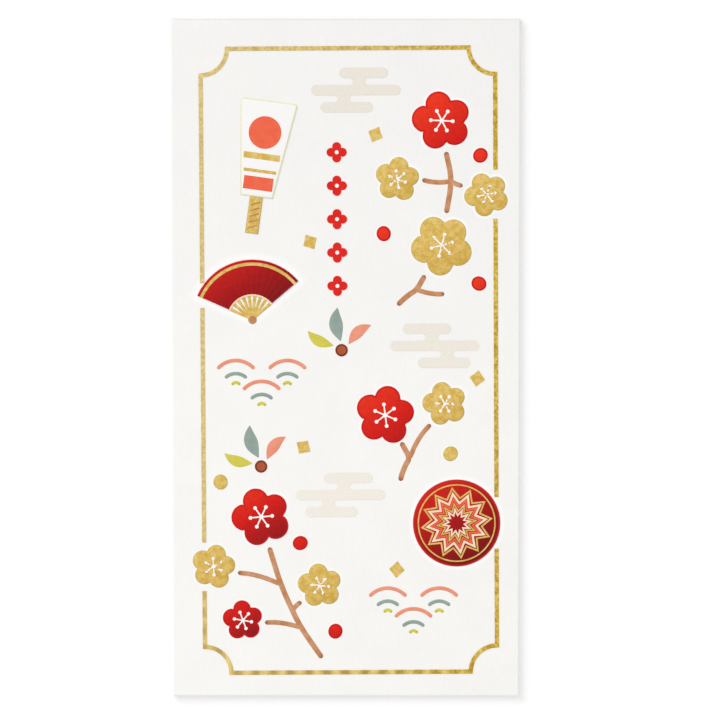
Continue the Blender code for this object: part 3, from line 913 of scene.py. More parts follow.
def line_gold_finish():
    """The border line's gold: a painted sheen makes it paler towards the left, and it breaks into uneven
    dashes, most at its foot.
    """
    material, tree, shader = new_finish("gold_line_ink", 0.55, 0.10, gloss=0.2)
    grains = speckle(tree, GOLD_GRAIN, 3.0, rough=0.7)
    patches = between(tree, speckle(tree, GOLD_TINT), 0.34, 0.66)
    fine = between(tree, grains, 0.34, 0.66)
    mottle = mix_values(tree, 0.45, patches, fine)
    up = up_card(tree, -0.8, -0.5)
    off_right = across_card(tree, 0.3, 0.8, 1.0, 0.3)
    dashed = product(tree, between(tree, up, 0.0, 1.0, 0.60, 0.12), off_right)
    at_side = across_card(tree, -0.75, -0.85)
    dashes = mix_values(tree, at_side, dash(tree, "X"), dash(tree, "Y"))
    mottle = mix_values(tree, dashed, mottle, dashes)
    body = ramp(
        tree,
        mottle,
        [(0.18, srgb(168, 128, 12)), (0.45, srgb(200, 162, 42)), (0.62, srgb(213, 181, 75)),
         (0.85, srgb(230, 205, 120))],
    )
    # Painted sheen: the line is painted paler towards the left, less of it at its foot
    paler = across_card(tree, -1, 1, 0.42, 0.0)
    paler = product(tree, paler, between(tree, up, 0.0, 1.0, 0.6, 1.0))
    paint(tree, shader, blend_colours(tree, paler, body, srgb(242, 228, 184)), grains, 0.25, GOLD_RELIEF)
    return material


def red_finish(name, stops, edge=None):
    """Embossed satin red, darker towards its lower right, partly its print's gradient and partly painted
    shade, with a rim of another red that is partly its outline and partly painted shade.
    """
    material, tree, shader = new_finish(name, 0.45)
    # The red's gradient from the stored painted shade: partly printed, partly painted shade towards the lower
    # right
    red_with_painted_shade = ramp(tree, attribute(tree, "shade"), stops)
    mottle = ramp(tree, speckle(tree, RED_MOTTLE, 4.0), [(0.32, (0.84, 0.84, 0.84, 1)), (0.62, (1, 1, 1, 1))])
    body = blend_colours(tree, 1.0, red_with_painted_shade, mottle, "MULTIPLY")
    # The rim on the emboss's low shoulder: partly the print's outline, partly painted shade
    if edge:
        body = blend_colours(tree, rim(tree, 0.80, 0.97), body, edge)
    paint(tree, shader, body, speckle(tree, RED_GRAIN), 0.12)
    return material


def print_finish(name, colour, paler, roughness=0.75):
    """A flat printed ink that the card's grain shows through."""
    material, tree, shader = new_finish(name, roughness)
    grain = speckle(tree, PRINT_GRAIN, 3.0)
    clouds = speckle(tree, PRINT_CLOUD)
    fine = grained(tree, grain, colour, paler)
    wide = ramp(tree, clouds, [(0.35, colour), (0.70, paler)])
    paint(tree, shader, blend_colours(tree, 0.5, fine, wide), grain)
    return material


def mist_finish():
    """Pale beige ink that grows paler towards the envelope's foot."""
    material, tree, shader = new_finish("beige_ink", 0.85)
    grain = speckle(tree, PRINT_GRAIN, 3.0)
    upper = grained(tree, grain, srgb(232, 225, 212), srgb(239, 234, 225))
    lower = grained(tree, grain, srgb(239, 232, 220), srgb(246, 240, 232))
    down = up_card(tree, 0.3, -0.4)
    paint(tree, shader, blend_colours(tree, down, upper, lower), grain)
    return material


def worn_finish():
    """Bare card that specks of gold still cover in places."""
    material, tree, shader = new_finish("worn_bare_marks", 0.85)
    specks = speckle(tree, WORN_SPECK)
    colour = ramp(tree, specks, [(0.40, srgb(190, 150, 88)), (0.47, srgb(255, 253, 249))])
    tree.links.new(colour, shader.inputs["Base Color"])
    return material


def board_finish():
    """A white board whose rim keeps a thin pale line."""
    material, tree, shader = new_finish("board_ink", 0.85)
    grain = speckle(tree, PRINT_GRAIN, 3.0)
    face = grained(tree, grain, srgb(247, 246, 244), srgb(250, 249, 248))
    line = grained(tree, grain, srgb(228, 226, 192), srgb(238, 236, 208))
    tree.links.new(blend_colours(tree, rim(tree, 0.80, 0.92), face, line), shader.inputs["Base Color"])
    return material


def stem_finish():
    """Printed brown, pinkish in places and darker at the tips."""
    material, tree, shader = new_finish("brown_ink", 0.75)
    body = ramp(
        tree,
        speckle(tree, STEM_PATCH, 3.0),
        [(0.32, srgb(186, 126, 84)), (0.52, srgb(200, 144, 102)), (0.72, srgb(210, 162, 130))],
    )
    tips = blend_colours(tree, attribute(tree, "tip"), body, srgb(132, 84, 62))
    paint(tree, shader, tips, speckle(tree, PRINT_GRAIN))
    return material


card_material = card_finish()
glue_material = glue_finish()
margin_material = card_finish("card_margin", margin=True)
gold_material = gold_finish("gold_ink", True)
flat_gold_material = gold_finish("flat_gold_ink", False)
line_gold_material = line_gold_finish()
# Red stops from the upper left to the lower right: partly the print's gradient, partly painted shade
red_material = red_finish(
    "red_foil",
    [(0.0, srgb(244, 58, 30)), (0.5, srgb(216, 26, 18)), (1.0, srgb(140, 18, 24))],
    srgb(198, 20, 16),
)
# Deep red stops from the upper left to the lower right: partly the print's gradient, partly painted shade
deep_reds_with_painted_shade = [(0.0, srgb(222, 36, 26)), (0.5, srgb(168, 18, 20)), (1.0, srgb(110, 12, 18))]
ball_red_material = red_finish("ball_red_foil", deep_reds_with_painted_shade, srgb(196, 40, 34))
fan_red_material = red_finish("deep_red_foil", deep_reds_with_painted_shade)
brown_material = stem_finish()
mist_material = mist_finish()
grey_material = print_finish("grey_leaf_ink", srgb(138, 156, 148), srgb(160, 176, 166))
yellow_material = print_finish("yellow_leaf_ink", srgb(204, 196, 72), srgb(220, 210, 96))
coral_material = print_finish("coral_ink", srgb(232, 140, 112), srgb(240, 164, 136))
bright_coral_material = print_finish("bright_coral_ink", srgb(236, 96, 66), srgb(244, 116, 84))
berry_material = print_finish("berry_ink", srgb(168, 78, 50), srgb(186, 96, 64))
dark_berry_material = print_finish("dark_berry_ink", srgb(112, 50, 26), srgb(128, 60, 34))
plain_red_material = print_finish("plain_red_ink", srgb(216, 30, 26), srgb(230, 44, 34), 0.6)
bare_material = print_finish("bare_card_marks", srgb(252, 248, 243), srgb(255, 253, 250), 0.85)
worn_bare_material = worn_finish()
cream_material = print_finish("cream_ink", srgb(250, 214, 184), srgb(255, 226, 200))
board_material = board_finish()
leaf_inks = {"yellow": yellow_material, "grey": grey_material, "coral": coral_material}


# The folded card


def fold_card():
    """The sheet: front, side folds, lapped back panels, bottom fold and bottom flap."""
    card = plate(2 * FRONT_HALF_WIDTH, 2 * FRONT_HALF_HEIGHT, 0, FRONT_MID)
    edit(card)
    side_middle = (FRONT_MID + BACK_MID) / 2
    worn_third = FRONT_HALF_HEIGHT - WORN_LENGTH / 3
    for side in (1, -1):
        pick("EDGE", lambda m: side * m.x > FRONT_HALF_WIDTH - HAIRLINE / 2
             and abs(m.z - FRONT_MID) < HAIRLINE)
        shift(x=side * (SIDE_LINE - FRONT_HALF_WIDTH))
        bpy.ops.mesh.spin(
            steps=FOLD_STEPS, angle=-side * math.pi, center=(side * SIDE_LINE, 0, side_middle), axis=(0, 1, 0)
        )
        if side > 0:
            pull(x=-SEAM_HALF_LAP - SIDE_LINE)
        else:
            ramp_end = -SEAM_HALF_LAP - RAMP_CLEARANCE
            pull(x=ramp_end - SEAM_RAMP + SIDE_LINE)
            pull(x=SEAM_RAMP, z=SEAM_STEP)
            pull(x=SEAM_HALF_LAP - ramp_end)

    # The mouth: the back panels stop short of the crease
    pick("FACE", lambda m: abs(m.x) > SIDE_LINE or m.z < side_middle)
    cut((0, MOUTH_Y, 0), (0, 1, 0), clear=False)
    pick("FACE", lambda m: abs(m.x) < SIDE_LINE and m.z < side_middle and m.y > MOUTH_Y)
    bpy.ops.mesh.delete(type="FACE")

    # The side folds run on past the bottom fold, and their top corners are worn in
    pick("EDGE", lambda m: abs(m.x) > SIDE_LINE and m.y < HAIRLINE - FRONT_HALF_HEIGHT)
    pull(y=SIDE_END_Y + FRONT_HALF_HEIGHT)
    for side in (1, -1):
        for line in (FRONT_HALF_HEIGHT - WORN_LENGTH, worn_third):
            pick("FACE", lambda m: side * m.x > SIDE_LINE)
            cut((0, line, 0), (0, 1, 0), clear=False)
        for line, share in ((FRONT_HALF_HEIGHT, 1.0), (worn_third, WORN_THIRD_SHARE)):
            pick("VERT", lambda m: side * m.x > SIDE_LINE + HAIRLINE and abs(m.y - line) < HAIRLINE)
            resize(1 - WORN_SHARE * share, 1, about=(side * SIDE_LINE, 0, side_middle))

    # Bottom fold and bottom flap
    pick("EDGE", lambda m: m.y < HAIRLINE / 2 - FRONT_HALF_HEIGHT and abs(m.z - FRONT_MID) < HAIRLINE
         and abs(m.x) < SIDE_LINE)
    bpy.ops.mesh.spin(
        steps=FOLD_STEPS, angle=-math.pi, center=(0, -FRONT_HALF_HEIGHT, (FRONT_MID + FLAP_MID) / 2),
        axis=(1, 0, 0),
    )
    shape_flap(1, BOTTOM_FLAP_LENGTH, BOTTOM_FLAP_TAPER, BOTTOM_FLAP_CORNER, SIDE_LINE)
    close_edit()
    thicken(card)
    return card


def shape_flap(towards, length, taper, corner, half_width):
    """From a selected crease edge: step in at the sides, run out, narrow and round the corners."""
    pull(y=towards * HAIRLINE)
    resize(FLAP_HALF_WIDTH / half_width, 1)
    pull(y=towards * (length - HAIRLINE))
    resize((FLAP_HALF_WIDTH - taper) / FLAP_HALF_WIDTH, 1)
    round_corners(corner)


def thicken(card):
    """Give the folded surface the card's thickness, half to each side."""
    activate(card)
    solid = card.modifiers.new("Card thickness", "SOLIDIFY")
    solid.thickness = PAPER
    solid.offset = 0
    bpy.ops.object.modifier_apply(modifier=solid.name)
    smooth(card, CARD_SMOOTH)


def fold_closure():
    """The crease at the top and the closure flap, which bend as one strip of card."""
    card = plate(2 * FRONT_HALF_WIDTH, 2 * HAIRLINE, CREASE_Y + HAIRLINE, FRONT_MID)
    edit(card)
    pick("EDGE", lambda m: m.y > CREASE_Y + HAIRLINE * 1.5)
    shift(y=-HAIRLINE * 2)
    bpy.ops.mesh.spin(
        steps=FOLD_STEPS, angle=math.pi, center=(0, CREASE_Y, (FRONT_MID + FLAP_MID) / 2), axis=(1, 0, 0)
    )
    shape_flap(-1, CLOSURE_LENGTH, CLOSURE_TAPER, CLOSURE_CORNER, FRONT_HALF_WIDTH)
    close_edit()
    thicken(card)
    return card


def build_card():
    """The card's two pieces, and the glue that the pocket hides."""
    card = fold_card()
    card.name = "folded_card"
    dress(
        card, card_material,
        ("front_panel", "left_side_fold", "right_side_fold", "bottom_fold", "left_back_panel",
         "right_back_panel", "bottom_flap"),
    )
    closure = fold_closure()
    closure.name = "closure_card"
    closure.data.materials.append(card_material)
    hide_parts("closure_crease", "closure_flap")
    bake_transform(closure)
    for name in ("seam_glue", "bottom_glue"):
        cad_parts[name].data.materials[0] = glue_material


# Blossoms, buds, flecks and crests


def stamens(reach, width, base):
    """Six stamens with round anthers, and the spot where they meet."""
    spokes = []
    anthers = [disc(width * STAMEN_HEART, (0, 0), base - STAMEN_PROUD, ANTHER_POINTS)]
    for number in range(STAMEN_COUNT):
        angle = 2 * math.pi * number / STAMEN_COUNT
        towards = Vector((math.cos(angle), math.sin(angle)))
        places = (towards * width * STAMEN_START, towards * reach * STAMEN_WAIST, towards * reach)
        spokes.append(list(zip(places, STAMEN_TAPER)))
        anthers.append(disc(width * ANTHER_SHARE, towards * reach, base - STAMEN_PROUD, ANTHER_POINTS))
    for anther in anthers:
        raise_ink(anther, STAMEN_PROUD * 2, [(width * ANTHER_SLOPE, STAMEN_PROUD / 2)])
    lines = draw("spokes", spokes, width, base, STAMEN_THICKNESS)
    return join("stamens", [lines] + anthers)


def build_blossoms():
    """Embossed blossoms with bare stamens, each copied from one of its kind."""
    masters = {}
    for kind, (radius, reach, width) in BLOSSOM_KINDS.items():
        flower = raise_ink(petal_outline(radius, 5, sizes=UNEVEN_PETALS), shoulder=SHOULDER)
        masters[kind] = (flower, stamens(reach * radius, width, FACE_TOP), radius)
    turns = {name: facts[0] for name, facts in RED_BLOSSOMS.items()}
    turns.update(GOLD_BLOSSOMS)
    for name, turn in turns.items():
        colour = name.split("_")[0]
        flower, lines, radius = masters.get(name, masters[colour])
        angle = math.radians(turn + 90) + PRINT_TURN
        blossom = copy_of(flower, name + "_face")
        seat(blossom, name, angle)
        middle = blossom_middle(blossom)
        centre = copy_of(lines, name + "_stamens")
        stand(centre, middle, angle + STAMEN_TURN)
        wider = radius + BLOSSOM_MARGIN
        outline = petal_outline(wider, 5, PETAL_REACH * radius / wider)
        bare_margin(outline, BLOSSOM_MARGIN, name + "_margin", middle, angle)
        # Red and gold faces take painted shade, darker towards their lower right
        if colour == "red":
            painted_shade_across(blossom, *RED_BLOSSOMS[name][1:])
            dress(blossom, red_material, [name])
            dress(centre, bare_material)
        else:
            painted_shade_across(blossom, *FULL_PAINTED_SHADES)
            dress(blossom, gold_material, [name])
            dress(centre, worn_bare_material)
    for flower, lines, radius in masters.values():
        bpy.data.objects.remove(flower)
        bpy.data.objects.remove(lines)


def blossom_middle(blossom):
    """The middle of a blossom's outline, the mean of its rim."""
    rim_points = [vert.co for vert in blossom.data.vertices if vert.co.z < CARD_TOP]
    return sum(rim_points, Vector()).xy / len(rim_points)


def build_buds():
    """Round embossed buds."""
    for name in sorted(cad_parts):
        if "_bud_" not in name:
            continue
        bud = raise_ink(disc(BUD_RADIUS), shoulder=SHOULDER)
        bud.scale = (BUD_STRETCH, 1 / BUD_STRETCH, 1)
        place_in_mesh(bud)
        bud.name = name + "_face"
        seat(bud, name, math.radians(BUD_TURN * int(name[-1])))
        low, high = own_box(bud)
        bare_margin(disc(BUD_RADIUS + BUD_MARGIN), BUD_MARGIN, name + "_margin", flat_middle(low, high))
        if name.startswith("red"):
            # Red buds take painted shade, less of it above the card's middle
            painted_shade_across(bud, *(UPPER_BUD_PAINTED_SHADES if low.y > 0 else LOWER_BUD_PAINTED_SHADES))
            dress(bud, red_material, [name])
        else:
            dress(bud, gold_material, [name])


def build_flecks():
    """Square flecks of gold, a little uneven, with sides that bow inwards."""
    for number, (turn, wider) in enumerate(FLECKS, 1):
        fleck = disc(FLECK_SIDE / math.sqrt(2), points=8)
        edit(fleck)
        pick("VERT", lambda m: abs(abs(m.x) - abs(m.y)) < HAIRLINE)
        inwards = FLECK_HOLLOW * math.cos(math.pi / 4)
        resize(inwards, inwards)
        select_whole()
        round_corners(FLECK_CORNER, FLECK_CORNER_STEPS)
        select_whole()
        resize(1 + wider, 1 - wider)
        leave_edit()
        raise_ink(fleck)
        name = f"gold_fleck_{number}"
        fleck.name = name + "_ink"
        seat(fleck, name, math.radians(turn + 45) + PRINT_TURN)
        dress(fleck, flat_gold_material, [name])


def build_crests():
    """A column of small red crests of four petals round a bare eye."""
    crest = raise_ink(petal_outline(CREST_RADIUS, 4, CREST_REACH))
    eye = raise_ink(disc(CREST_EYE, height=CARD_TOP + INK, points=EYE_POINTS), STAMEN_PROUD)
    for number in range(1, 6):
        name = f"crest_{number}"
        petals = copy_of(crest, name + "_ink")
        seat(petals, name, math.pi / 2 + PRINT_TURN)
        bare = copy_of(eye, name + "_eye")
        stand(bare, flat_middle(*own_box(petals)))
        dress(petals, plain_red_material, [name])
        dress(bare, bare_material)
    bpy.data.objects.remove(crest)
    bpy.data.objects.remove(eye)


# Stems, leaves, mist and waves


def tip_at(blossom, radius, knot):
    """Where a stem from the knot stops, just short of a blossom."""
    centre = flat_middle(*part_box(blossom))
    return centre + (knot - centre).normalized() * (radius + STEM_TIP_GAP)


def bow(start, end, aside):
    """A route from start to end that bows to one side, in shares of its length."""
    along = end - start
    across = Vector((-along.y, along.x))
    inner = [start + along * share + across * aside for share in BOW_PLACES]
    return [start, *inner, end]


def build_stem(name, strokes, tips):
    """One printed stem with its twigs."""
    parts = [draw(name, [blunt(route, width)], width, thickness=STEM_THICKNESS) for route, width in strokes]
    stem = join(name + "_ink", parts)
    stain_tips(stem, tips)
    dress(stem, brown_material, [name])


def build_stems():
    """The plum stems between the blossoms."""
    knot = spot(*UPPER_KNOT)
    top = tip_at("red_blossom_upper", RED_RADIUS, knot)
    foot = tip_at("gold_blossom_large", LARGE_GOLD_RADIUS, knot)
    left = tip_at("gold_blossom_1", GOLD_RADIUS, knot)
    right = tip_at("gold_blossom_2", GOLD_RADIUS, knot)
    build_stem(
        "upper_stem",
        [([top, knot + UPPER_STEM_KINK, foot], STEM_WIDTH), (bow(knot, left, TWIG_BOW), TWIG_WIDTH),
         (bow(knot, right, -TWIG_BOW), TWIG_WIDTH)],
        [top, foot, left, right],
    )
    knot = spot(*HANGING_KNOT)
    end = spot(*HANGING_END)
    top = tip_at("gold_blossom_large", LARGE_GOLD_RADIUS, knot)
    tip = spot(*HANGING_TIP)
    build_stem(
        "hanging_stem",
        [(bow(end, knot, FAINT_BOW) + [top], STEM_WIDTH), (bow(knot, tip, -SLIGHT_BOW), TWIG_WIDTH)],
        [end, top, tip],
    )
    knot = spot(*MIDDLE_KNOT)
    end = spot(*MIDDLE_END)
    left = tip_at("red_blossom_middle", RED_RADIUS, knot)
    right = tip_at("gold_blossom_3", GOLD_RADIUS, knot)
    build_stem(
        "middle_stem",
        [(bow(end, knot, SLIGHT_BOW) + [left], STEM_WIDTH), (bow(knot, right, TWIG_BOW), TWIG_WIDTH)],
        [end, left, right],
    )
    end = spot(*LOWER_END)
    fork = spot(*LOWER_FORK)
    joint = spot(*LOWER_JOINT)
    elbow = spot(*LOWER_ELBOW)
    top = tip_at("red_blossom_lower", RED_RADIUS, elbow)
    small = tip_at("red_blossom_small", SMALL_RED_RADIUS, fork)
    right = tip_at("gold_blossom_5", GOLD_RADIUS, joint)
    left = tip_at("gold_blossom_4", GOLD_RADIUS, elbow)
    build_stem(
        "lower_stem",
        [([end, fork, joint, elbow, top], STEM_WIDTH), (bow(fork, small, -SLIGHT_BOW), TWIG_WIDTH),
         (bow(joint, right, TWIG_BOW), TWIG_WIDTH), (bow(elbow, left, -SLIGHT_BOW), TWIG_WIDTH)],
        [end, top, small, right, left],
    )


def build_sprigs():
    """Three separate leaves that point away from one round berry."""
    for name, (across, up, turn) in LEAF_SPRIGS.items():
        middle = spot(across, up)
        for kind, (direction, length, width) in LEAVES.items():
            angle = math.radians(direction + turn) + PRINT_TURN
            along = Vector((math.cos(angle), math.sin(angle)))
            aside = Vector((-along.y, along.x)) * LEAF_CURL
            start = middle + along * LEAF_GAP
            route = [(start + along * length * far + aside * off, wide) for far, off, wide in LEAF_STROKE]
            leaf = draw(f"{name}_{kind}_leaf", [route], width, thickness=LEAF_THICKNESS)
            dress(leaf, leaf_inks[kind])
        berry = raise_ink(disc(BERRY_RADIUS, middle), shoulder=BERRY_SHOULDER)
        berry.name = name + "_berry_rim"
        dress(berry, dark_berry_material, [name])
        heart = disc(BERRY_RADIUS * BERRY_HEART, middle, CARD_TOP + INK)
        raise_ink(heart, BERRY_HEART_HEIGHT, BERRY_HEART_SHOULDER)
        heart.name = name + "_berry"
        dress(heart, berry_material)


def build_waves():
    """Wave fans: nested arcs, two fans above and one between them below."""
    for kind, (chord, rise, width, drop) in WAVES.items():
        parts = []
        for across, up in WAVE_GROUPS:
            for right, above in WAVE_FANS:
                middle = spot(across, up) + Vector((right * WAVE_PITCH, above * WAVE_DROP - drop))
                parts.append(draw("wave", [arc_route(middle, chord, rise, width)], width))
        dress(join(kind + "_waves", parts), leaf_inks[kind])


def build_lines():
    """The border line and the mist keep their CAD shape and take their inks."""
    for side in ("top", "bottom", "left", "right"):
        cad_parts["border_" + side].data.materials[0] = line_gold_material
    for number in (1, 2, 3):
        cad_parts[f"mist_band_{number}"].data.materials[0] = mist_material


# The large figures


def star_outline(outer, inner, base):
    """A zigzag outline round a middle: a circle with every second corner drawn in."""
    star = disc(outer, height=base, points=2 * TEMARI_POINTS)
    edit(star)
    half_step = math.pi / TEMARI_POINTS
    pick("VERT", lambda m: round(math.atan2(m.y, m.x) / half_step) % 2 == 1)
    resize(inner / outer, inner / outer, about=(0, 0, base))
    leave_edit()
    return star


def ring_of(outline, line, thickness):
    """Only the outer band of an outline, raised as a thread."""
    edit(outline)
    bpy.ops.mesh.select_mode(type="FACE")
    select_whole()
    bpy.ops.mesh.inset(thickness=line, depth=0)
    bpy.ops.mesh.delete(type="ONLY_FACE")
    leave_edit()
    return raise_ink(outline, thickness)


def build_temari():
    """The thread ball: an embossed red ball wound with zigzag threads."""
    middle = flat_middle(*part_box("temari_ball"))
    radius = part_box("temari_ball")[1].x - middle.x
    ball = raise_ink(disc(radius, points=ROUND_POINTS), shoulder=SHOULDER)
    ball.name = "temari_face"
    seat(ball, "temari_ball")
    # The ball takes painted shade, darker towards its lower right
    painted_shade_across(ball, *BALL_PAINTED_SHADES)
    dress(ball, ball_red_material, ["temari_ball"])
    bare_margin(disc(radius + FIGURE_MARGIN, points=ROUND_POINTS), FIGURE_MARGIN, "temari_margin", middle)
    inks = {"gold": flat_gold_material, "cream": cream_material, "coral": bright_coral_material}
    base = FACE_TOP - THREAD / 2
    for kind, stars in TEMARI_STARS.items():
        rings = [ring_of(star_outline(outer, inner, base), line, THREAD) for outer, inner, line in stars]
        if kind == "gold":
            hoop = disc(TEMARI_HOOP, height=base, points=ROUND_POINTS)
            rings.append(ring_of(hoop, TEMARI_HOOP_LINE, THREAD))
        threads = join(f"temari_{kind}_threads", rings)
        stand(threads, middle, math.pi / TEMARI_POINTS / 2)
        dress(threads, inks[kind])


def pleated_band(name, inner, outer, top, turn):
    """A pleated ring sector about the fan's pivot, spun from one radial edge."""
    band = plate(outer - inner, HAIRLINE, 0, top, (inner + outer) / 2)
    edit(band)
    pick("VERT", lambda m: m.y > 0)
    bpy.ops.mesh.delete(type="VERT")
    select_whole()
    shift(y=HAIRLINE / 2)
    folds = 2 * FAN_FOLDS
    bpy.ops.mesh.spin(steps=folds, angle=2 * FAN_HALF_ANGLE, center=(0, 0, 0), axis=(0, 0, 1))
    step = 2 * FAN_HALF_ANGLE / folds
    pick("VERT", lambda m: round(abs(math.atan2(m.y, m.x)) / step) % 2 == 1)
    shift(z=-FAN_PLEAT)
    bpy.ops.mesh.select_mode(type="FACE")
    select_whole()
    pull(z=-HAIRLINE)
    resize(1, 1, 0, about=(0, 0, CARD_TOP - INK_FOOT))
    close_edit()
    band.name = name
    spun = 1 if own_box(band)[1].y > -own_box(band)[0].y else -1
    stand(band, spot(*FAN), turn - spun * FAN_HALF_ANGLE)
    return band


def swing(angle, middle):
    """Sweep the selected point about a middle, counterclockwise, into an arc."""
    steps = max(round(abs(angle) / ARC_STEP), 1)
    bpy.ops.mesh.spin(steps=steps, angle=-angle, center=(middle.x, middle.y, 0), axis=(0, 0, 1))


def fan_outline(margin):
    """The fan's pie slice round a pivot at the origin, wider by a margin and round at its corners."""
    half = FAN_HALF_ANGLE
    along_edges = [Vector((math.cos(half), side * math.sin(half))) for side in (-1, 1)]
    corners = [edge * FAN_RADIUS for edge in along_edges]
    start = Vector((-math.sin(half), -math.cos(half))) * margin
    outline = plate(margin, margin, 0, CARD_TOP - INK_FOOT)
    edit(outline)
    bpy.ops.mesh.select_mode(type="VERT")
    select_whole()
    bpy.ops.mesh.merge(type="CENTER")
    shift(start.x, start.y)
    pull(*corners[0])
    swing(math.pi / 2, corners[0])
    swing(2 * half, Vector((0, 0)))
    swing(math.pi / 2, corners[1])
    pull(*(-corners[1]))
    swing(math.pi - 2 * half, Vector((0, 0)))
    select_whole()
    bpy.ops.mesh.remove_doubles(threshold=HAIRLINE)
    bpy.ops.mesh.edge_face_add()
    leave_edit()
    return outline


def build_fan():
    """The folding fan: a pleated red leaf with cream and gold lines, gold ribs and a pivot."""
    pivot = spot(*FAN)
    turn = math.pi / 2 + FAN_TURN + PRINT_TURN
    line_top = FACE_TOP + THREAD / 3
    bare_margin(fan_outline(FAN_MARGIN), FAN_MARGIN, "fan_margin", pivot, turn)
    leaf = pleated_band("fan_leaf", FAN_LEAF_INNER, FAN_RADIUS, FACE_TOP, turn)
    # The fan's leaf takes painted shade, darker towards its lower right
    painted_shade_across(leaf, *FULL_PAINTED_SHADES)
    dress(leaf, fan_red_material, ["folding_fan"])
    gold_line = (FAN_RADIUS - FAN_GOLD_LINE - FAN_GOLD_SET_IN, FAN_RADIUS - FAN_GOLD_SET_IN)
    cream_line = (FAN_LEAF_INNER, FAN_LEAF_INNER + FAN_CREAM_LINE)
    dress(pleated_band("fan_gold_line", *gold_line, line_top, turn), flat_gold_material)
    dress(pleated_band("fan_cream_line", *cream_line, line_top, turn), cream_material)
    ribs = []
    for number in range(FAN_RIBS):
        angle = turn + FAN_RIB_SPREAD * (2 * number / (FAN_RIBS - 1) - 1)
        towards = Vector((math.cos(angle), math.sin(angle)))
        ribs.append([(pivot + towards * FAN_LEAF_INNER * share, wide) for share, wide in RIB_STROKE])
    dress(draw("fan_ribs", ribs, RIB_WIDTH, CARD_TOP + INK, RIB_THICKNESS), flat_gold_material)
    cap = raise_ink(disc(FAN_PIVOT, pivot, points=PIVOT_POINTS), shoulder=SHOULDER[:2])
    cap.name = "fan_pivot"
    stain_tips(cap, [])
    dress(cap, brown_material)


def build_battledore():
    """The battledore: a white board with a pale rim, a coral sun, gold bands and a gold handle."""
    middle = spot(*PADDLE)
    turn = PADDLE_TURN + PRINT_TURN
    half_blade = PADDLE_BLADE / 2
    base = FACE_TOP - THREAD / 2
    board = raise_ink(board_outline(), shoulder=SHOULDER)
    board.name = "battledore_board"
    sun = raise_ink(disc(SUN_RADIUS, (0, SUN_UP), base), THREAD)
    sun.name = "battledore_sun"
    gold = join("battledore_bands", [band(up, tall, base) for up, tall in PADDLE_BANDS])
    wedge = band(*PADDLE_WEDGE, base)
    wedge.name = "battledore_wedge"
    grip = plate(PADDLE_HANDLE_WIDTH, PADDLE_HANDLE, -half_blade - PADDLE_HANDLE / 2, CARD_TOP - INK_FOOT)
    raise_ink(grip, shoulder=SHOULDER)
    grip.name = "battledore_grip"
    wraps = []
    for number in range(WRAP_COUNT):
        up = -half_blade - WRAP_START - WRAP_PITCH * number
        wraps.append(blunt([(-WRAP_REACH, up - WRAP_SLANT), (WRAP_REACH, up + WRAP_SLANT)], WRAP_WIDTH))
    cord = draw("battledore_wrap", wraps, WRAP_WIDTH, FACE_TOP, THREAD)
    stain_tips(cord, [])
    for piece in (board, sun, gold, wedge, grip, cord):
        stand(piece, middle, turn)
    dress(board, board_material, ["battledore"])
    dress(sun, bright_coral_material)
    dress(gold, flat_gold_material)
    dress(wedge, bright_coral_material)
    dress(grip, gold_material)
    dress(cord, brown_material)


def board_half_width(up):
    """Half the board's width at a height on it."""
    share = up / PADDLE_BLADE + 0.5
    return (PADDLE_NECK_WIDTH + (PADDLE_TOP_WIDTH - PADDLE_NECK_WIDTH) * share) / 2


def board_outline():
    """A flat board that narrows to its neck, with round top corners."""
    board = plate(PADDLE_TOP_WIDTH, PADDLE_BLADE, 0, CARD_TOP - INK_FOOT)
    edit(board)
    pick("VERT", lambda m: m.y < 0)
    resize(PADDLE_NECK_WIDTH / PADDLE_TOP_WIDTH, 1)
    pick("VERT", lambda m: m.y > 0)
    round_corners(PADDLE_CORNER)
    leave_edit()
    return board


def band(up, tall, base):
    """A straight printed band across the board's face."""
    return raise_ink(plate(2 * (board_half_width(up) - PADDLE_RIM), tall, up, base), THREAD)


# The table, the light and the view


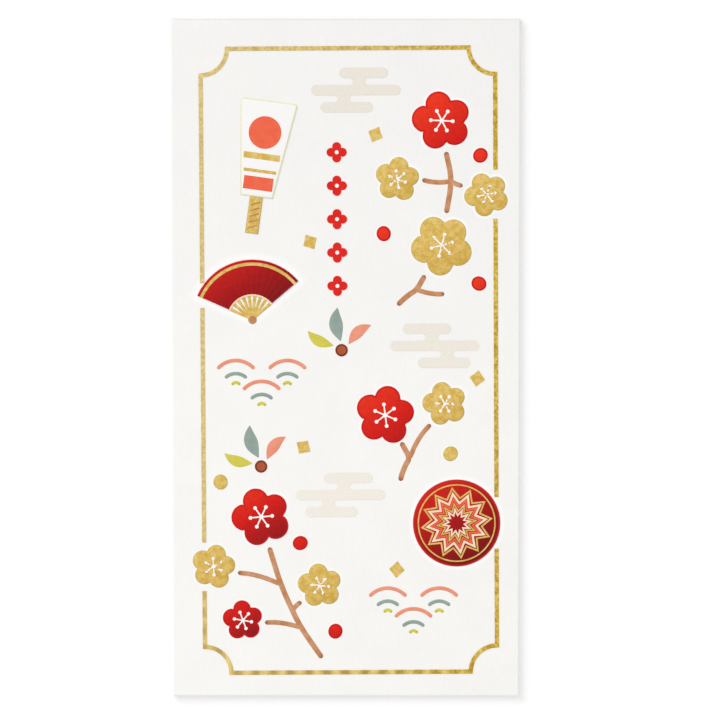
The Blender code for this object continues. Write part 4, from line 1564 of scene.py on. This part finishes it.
def build_table():
    """A white table that shows as white, keeps the envelope's soft shadow and lights its underside."""
    table = plate(TABLE_SIZE, TABLE_SIZE, 0, -TABLE_DEPTH, TABLE_SHIFT)
    table.name = "table"
    material, tree, shader = new_finish("white_table", 0.9, gloss=0.0)
    shader.inputs["Base Color"].default_value = (TABLE_SHARE, TABLE_SHARE, TABLE_SHARE, 1)
    glow = tree.nodes.new("ShaderNodeEmission")
    glow.inputs["Strength"].default_value = TABLE_GLOW
    lit = tree.nodes.new("ShaderNodeAddShader")
    pale = tree.nodes.new("ShaderNodeEmission")
    pale.inputs["Strength"].default_value = TABLE_BOUNCE
    rays = tree.nodes.new("ShaderNodeLightPath")
    seen = tree.nodes.new("ShaderNodeMath")
    seen.operation = "MAXIMUM"
    mirrored = tree.nodes.new("ShaderNodeMath")
    mirrored.operation = "MAXIMUM"
    tree.links.new(rays.outputs["Is Camera Ray"], seen.inputs[0])
    tree.links.new(rays.outputs["Is Glossy Ray"], seen.inputs[1])
    tree.links.new(seen.outputs[0], mirrored.inputs[0])
    tree.links.new(rays.outputs["Is Transmission Ray"], mirrored.inputs[1])
    surface = tree.nodes.new("ShaderNodeMixShader")
    below = tree.nodes.new("ShaderNodeMixShader")
    side = tree.nodes.new("ShaderNodeNewGeometry")
    clear = tree.nodes.new("ShaderNodeBsdfTransparent")
    tree.links.new(shader.outputs[0], lit.inputs[0])
    tree.links.new(glow.outputs[0], lit.inputs[1])
    tree.links.new(mirrored.outputs[0], surface.inputs[0])
    tree.links.new(pale.outputs[0], surface.inputs[1])
    tree.links.new(lit.outputs[0], surface.inputs[2])
    tree.links.new(side.outputs["Backfacing"], below.inputs[0])
    tree.links.new(surface.outputs[0], below.inputs[1])
    tree.links.new(clear.outputs[0], below.inputs[2])
    tree.links.new(below.outputs[0], tree.nodes["Material Output"].inputs["Surface"])
    table.data.materials.append(material)


def build_light():
    """Even light from all sides, and a soft lamp from the upper left."""
    world = bpy.data.worlds.new("soft room")
    bpy.context.scene.world = world
    world.use_nodes = True
    tree = world.node_tree
    room = tree.nodes["Background"]
    room.inputs["Strength"].default_value = ROOM_STRENGTH
    room.inputs["Color"].default_value = (1, 1, 1, 1)
    backdrop = tree.nodes.new("ShaderNodeBackground")
    backdrop.inputs["Strength"].default_value = 1.0
    backdrop.inputs["Color"].default_value = (1, 1, 1, 1)
    rays = tree.nodes.new("ShaderNodeLightPath")
    chosen = tree.nodes.new("ShaderNodeMixShader")
    tree.links.new(rays.outputs["Is Camera Ray"], chosen.inputs[0])
    tree.links.new(room.outputs[0], chosen.inputs[1])
    tree.links.new(backdrop.outputs[0], chosen.inputs[2])
    tree.links.new(chosen.outputs[0], tree.nodes["World Output"].inputs["Surface"])

    lamp = bpy.data.lights.new("lamp", "SUN")
    lamp.energy = LAMP_STRENGTH
    lamp.angle = LAMP_ANGLE
    holder = bpy.data.objects.new("lamp", lamp)
    bpy.context.collection.objects.link(holder)
    holder.rotation_euler = LAMP_TOWARDS.to_track_quat("-Z", "Y").to_euler()


def build_camera():
    """The camera, above the envelope and tilted a little towards its top."""
    camera = bpy.data.cameras.new("camera")
    camera.lens = CAMERA_LENS
    camera.sensor_width = CAMERA_SENSOR
    camera.clip_end = CAMERA_SIGHT
    holder = bpy.data.objects.new("camera", camera)
    bpy.context.collection.objects.link(holder)
    back = Vector((0, math.sin(CAMERA_TILT), math.cos(CAMERA_TILT)))
    holder.location = CAMERA_TARGET + back * CAMERA_DISTANCE
    holder.rotation_euler = (-CAMERA_TILT, 0, 0)
    bpy.context.scene.camera = holder


build_card()
build_lines()
build_blossoms()
build_buds()
build_flecks()
build_crests()
build_stems()
build_sprigs()
build_waves()
build_temari()
build_fan()
build_battledore()
build_table()
build_light()
build_camera()

bpy.context.scene.view_settings.view_transform = "Standard"
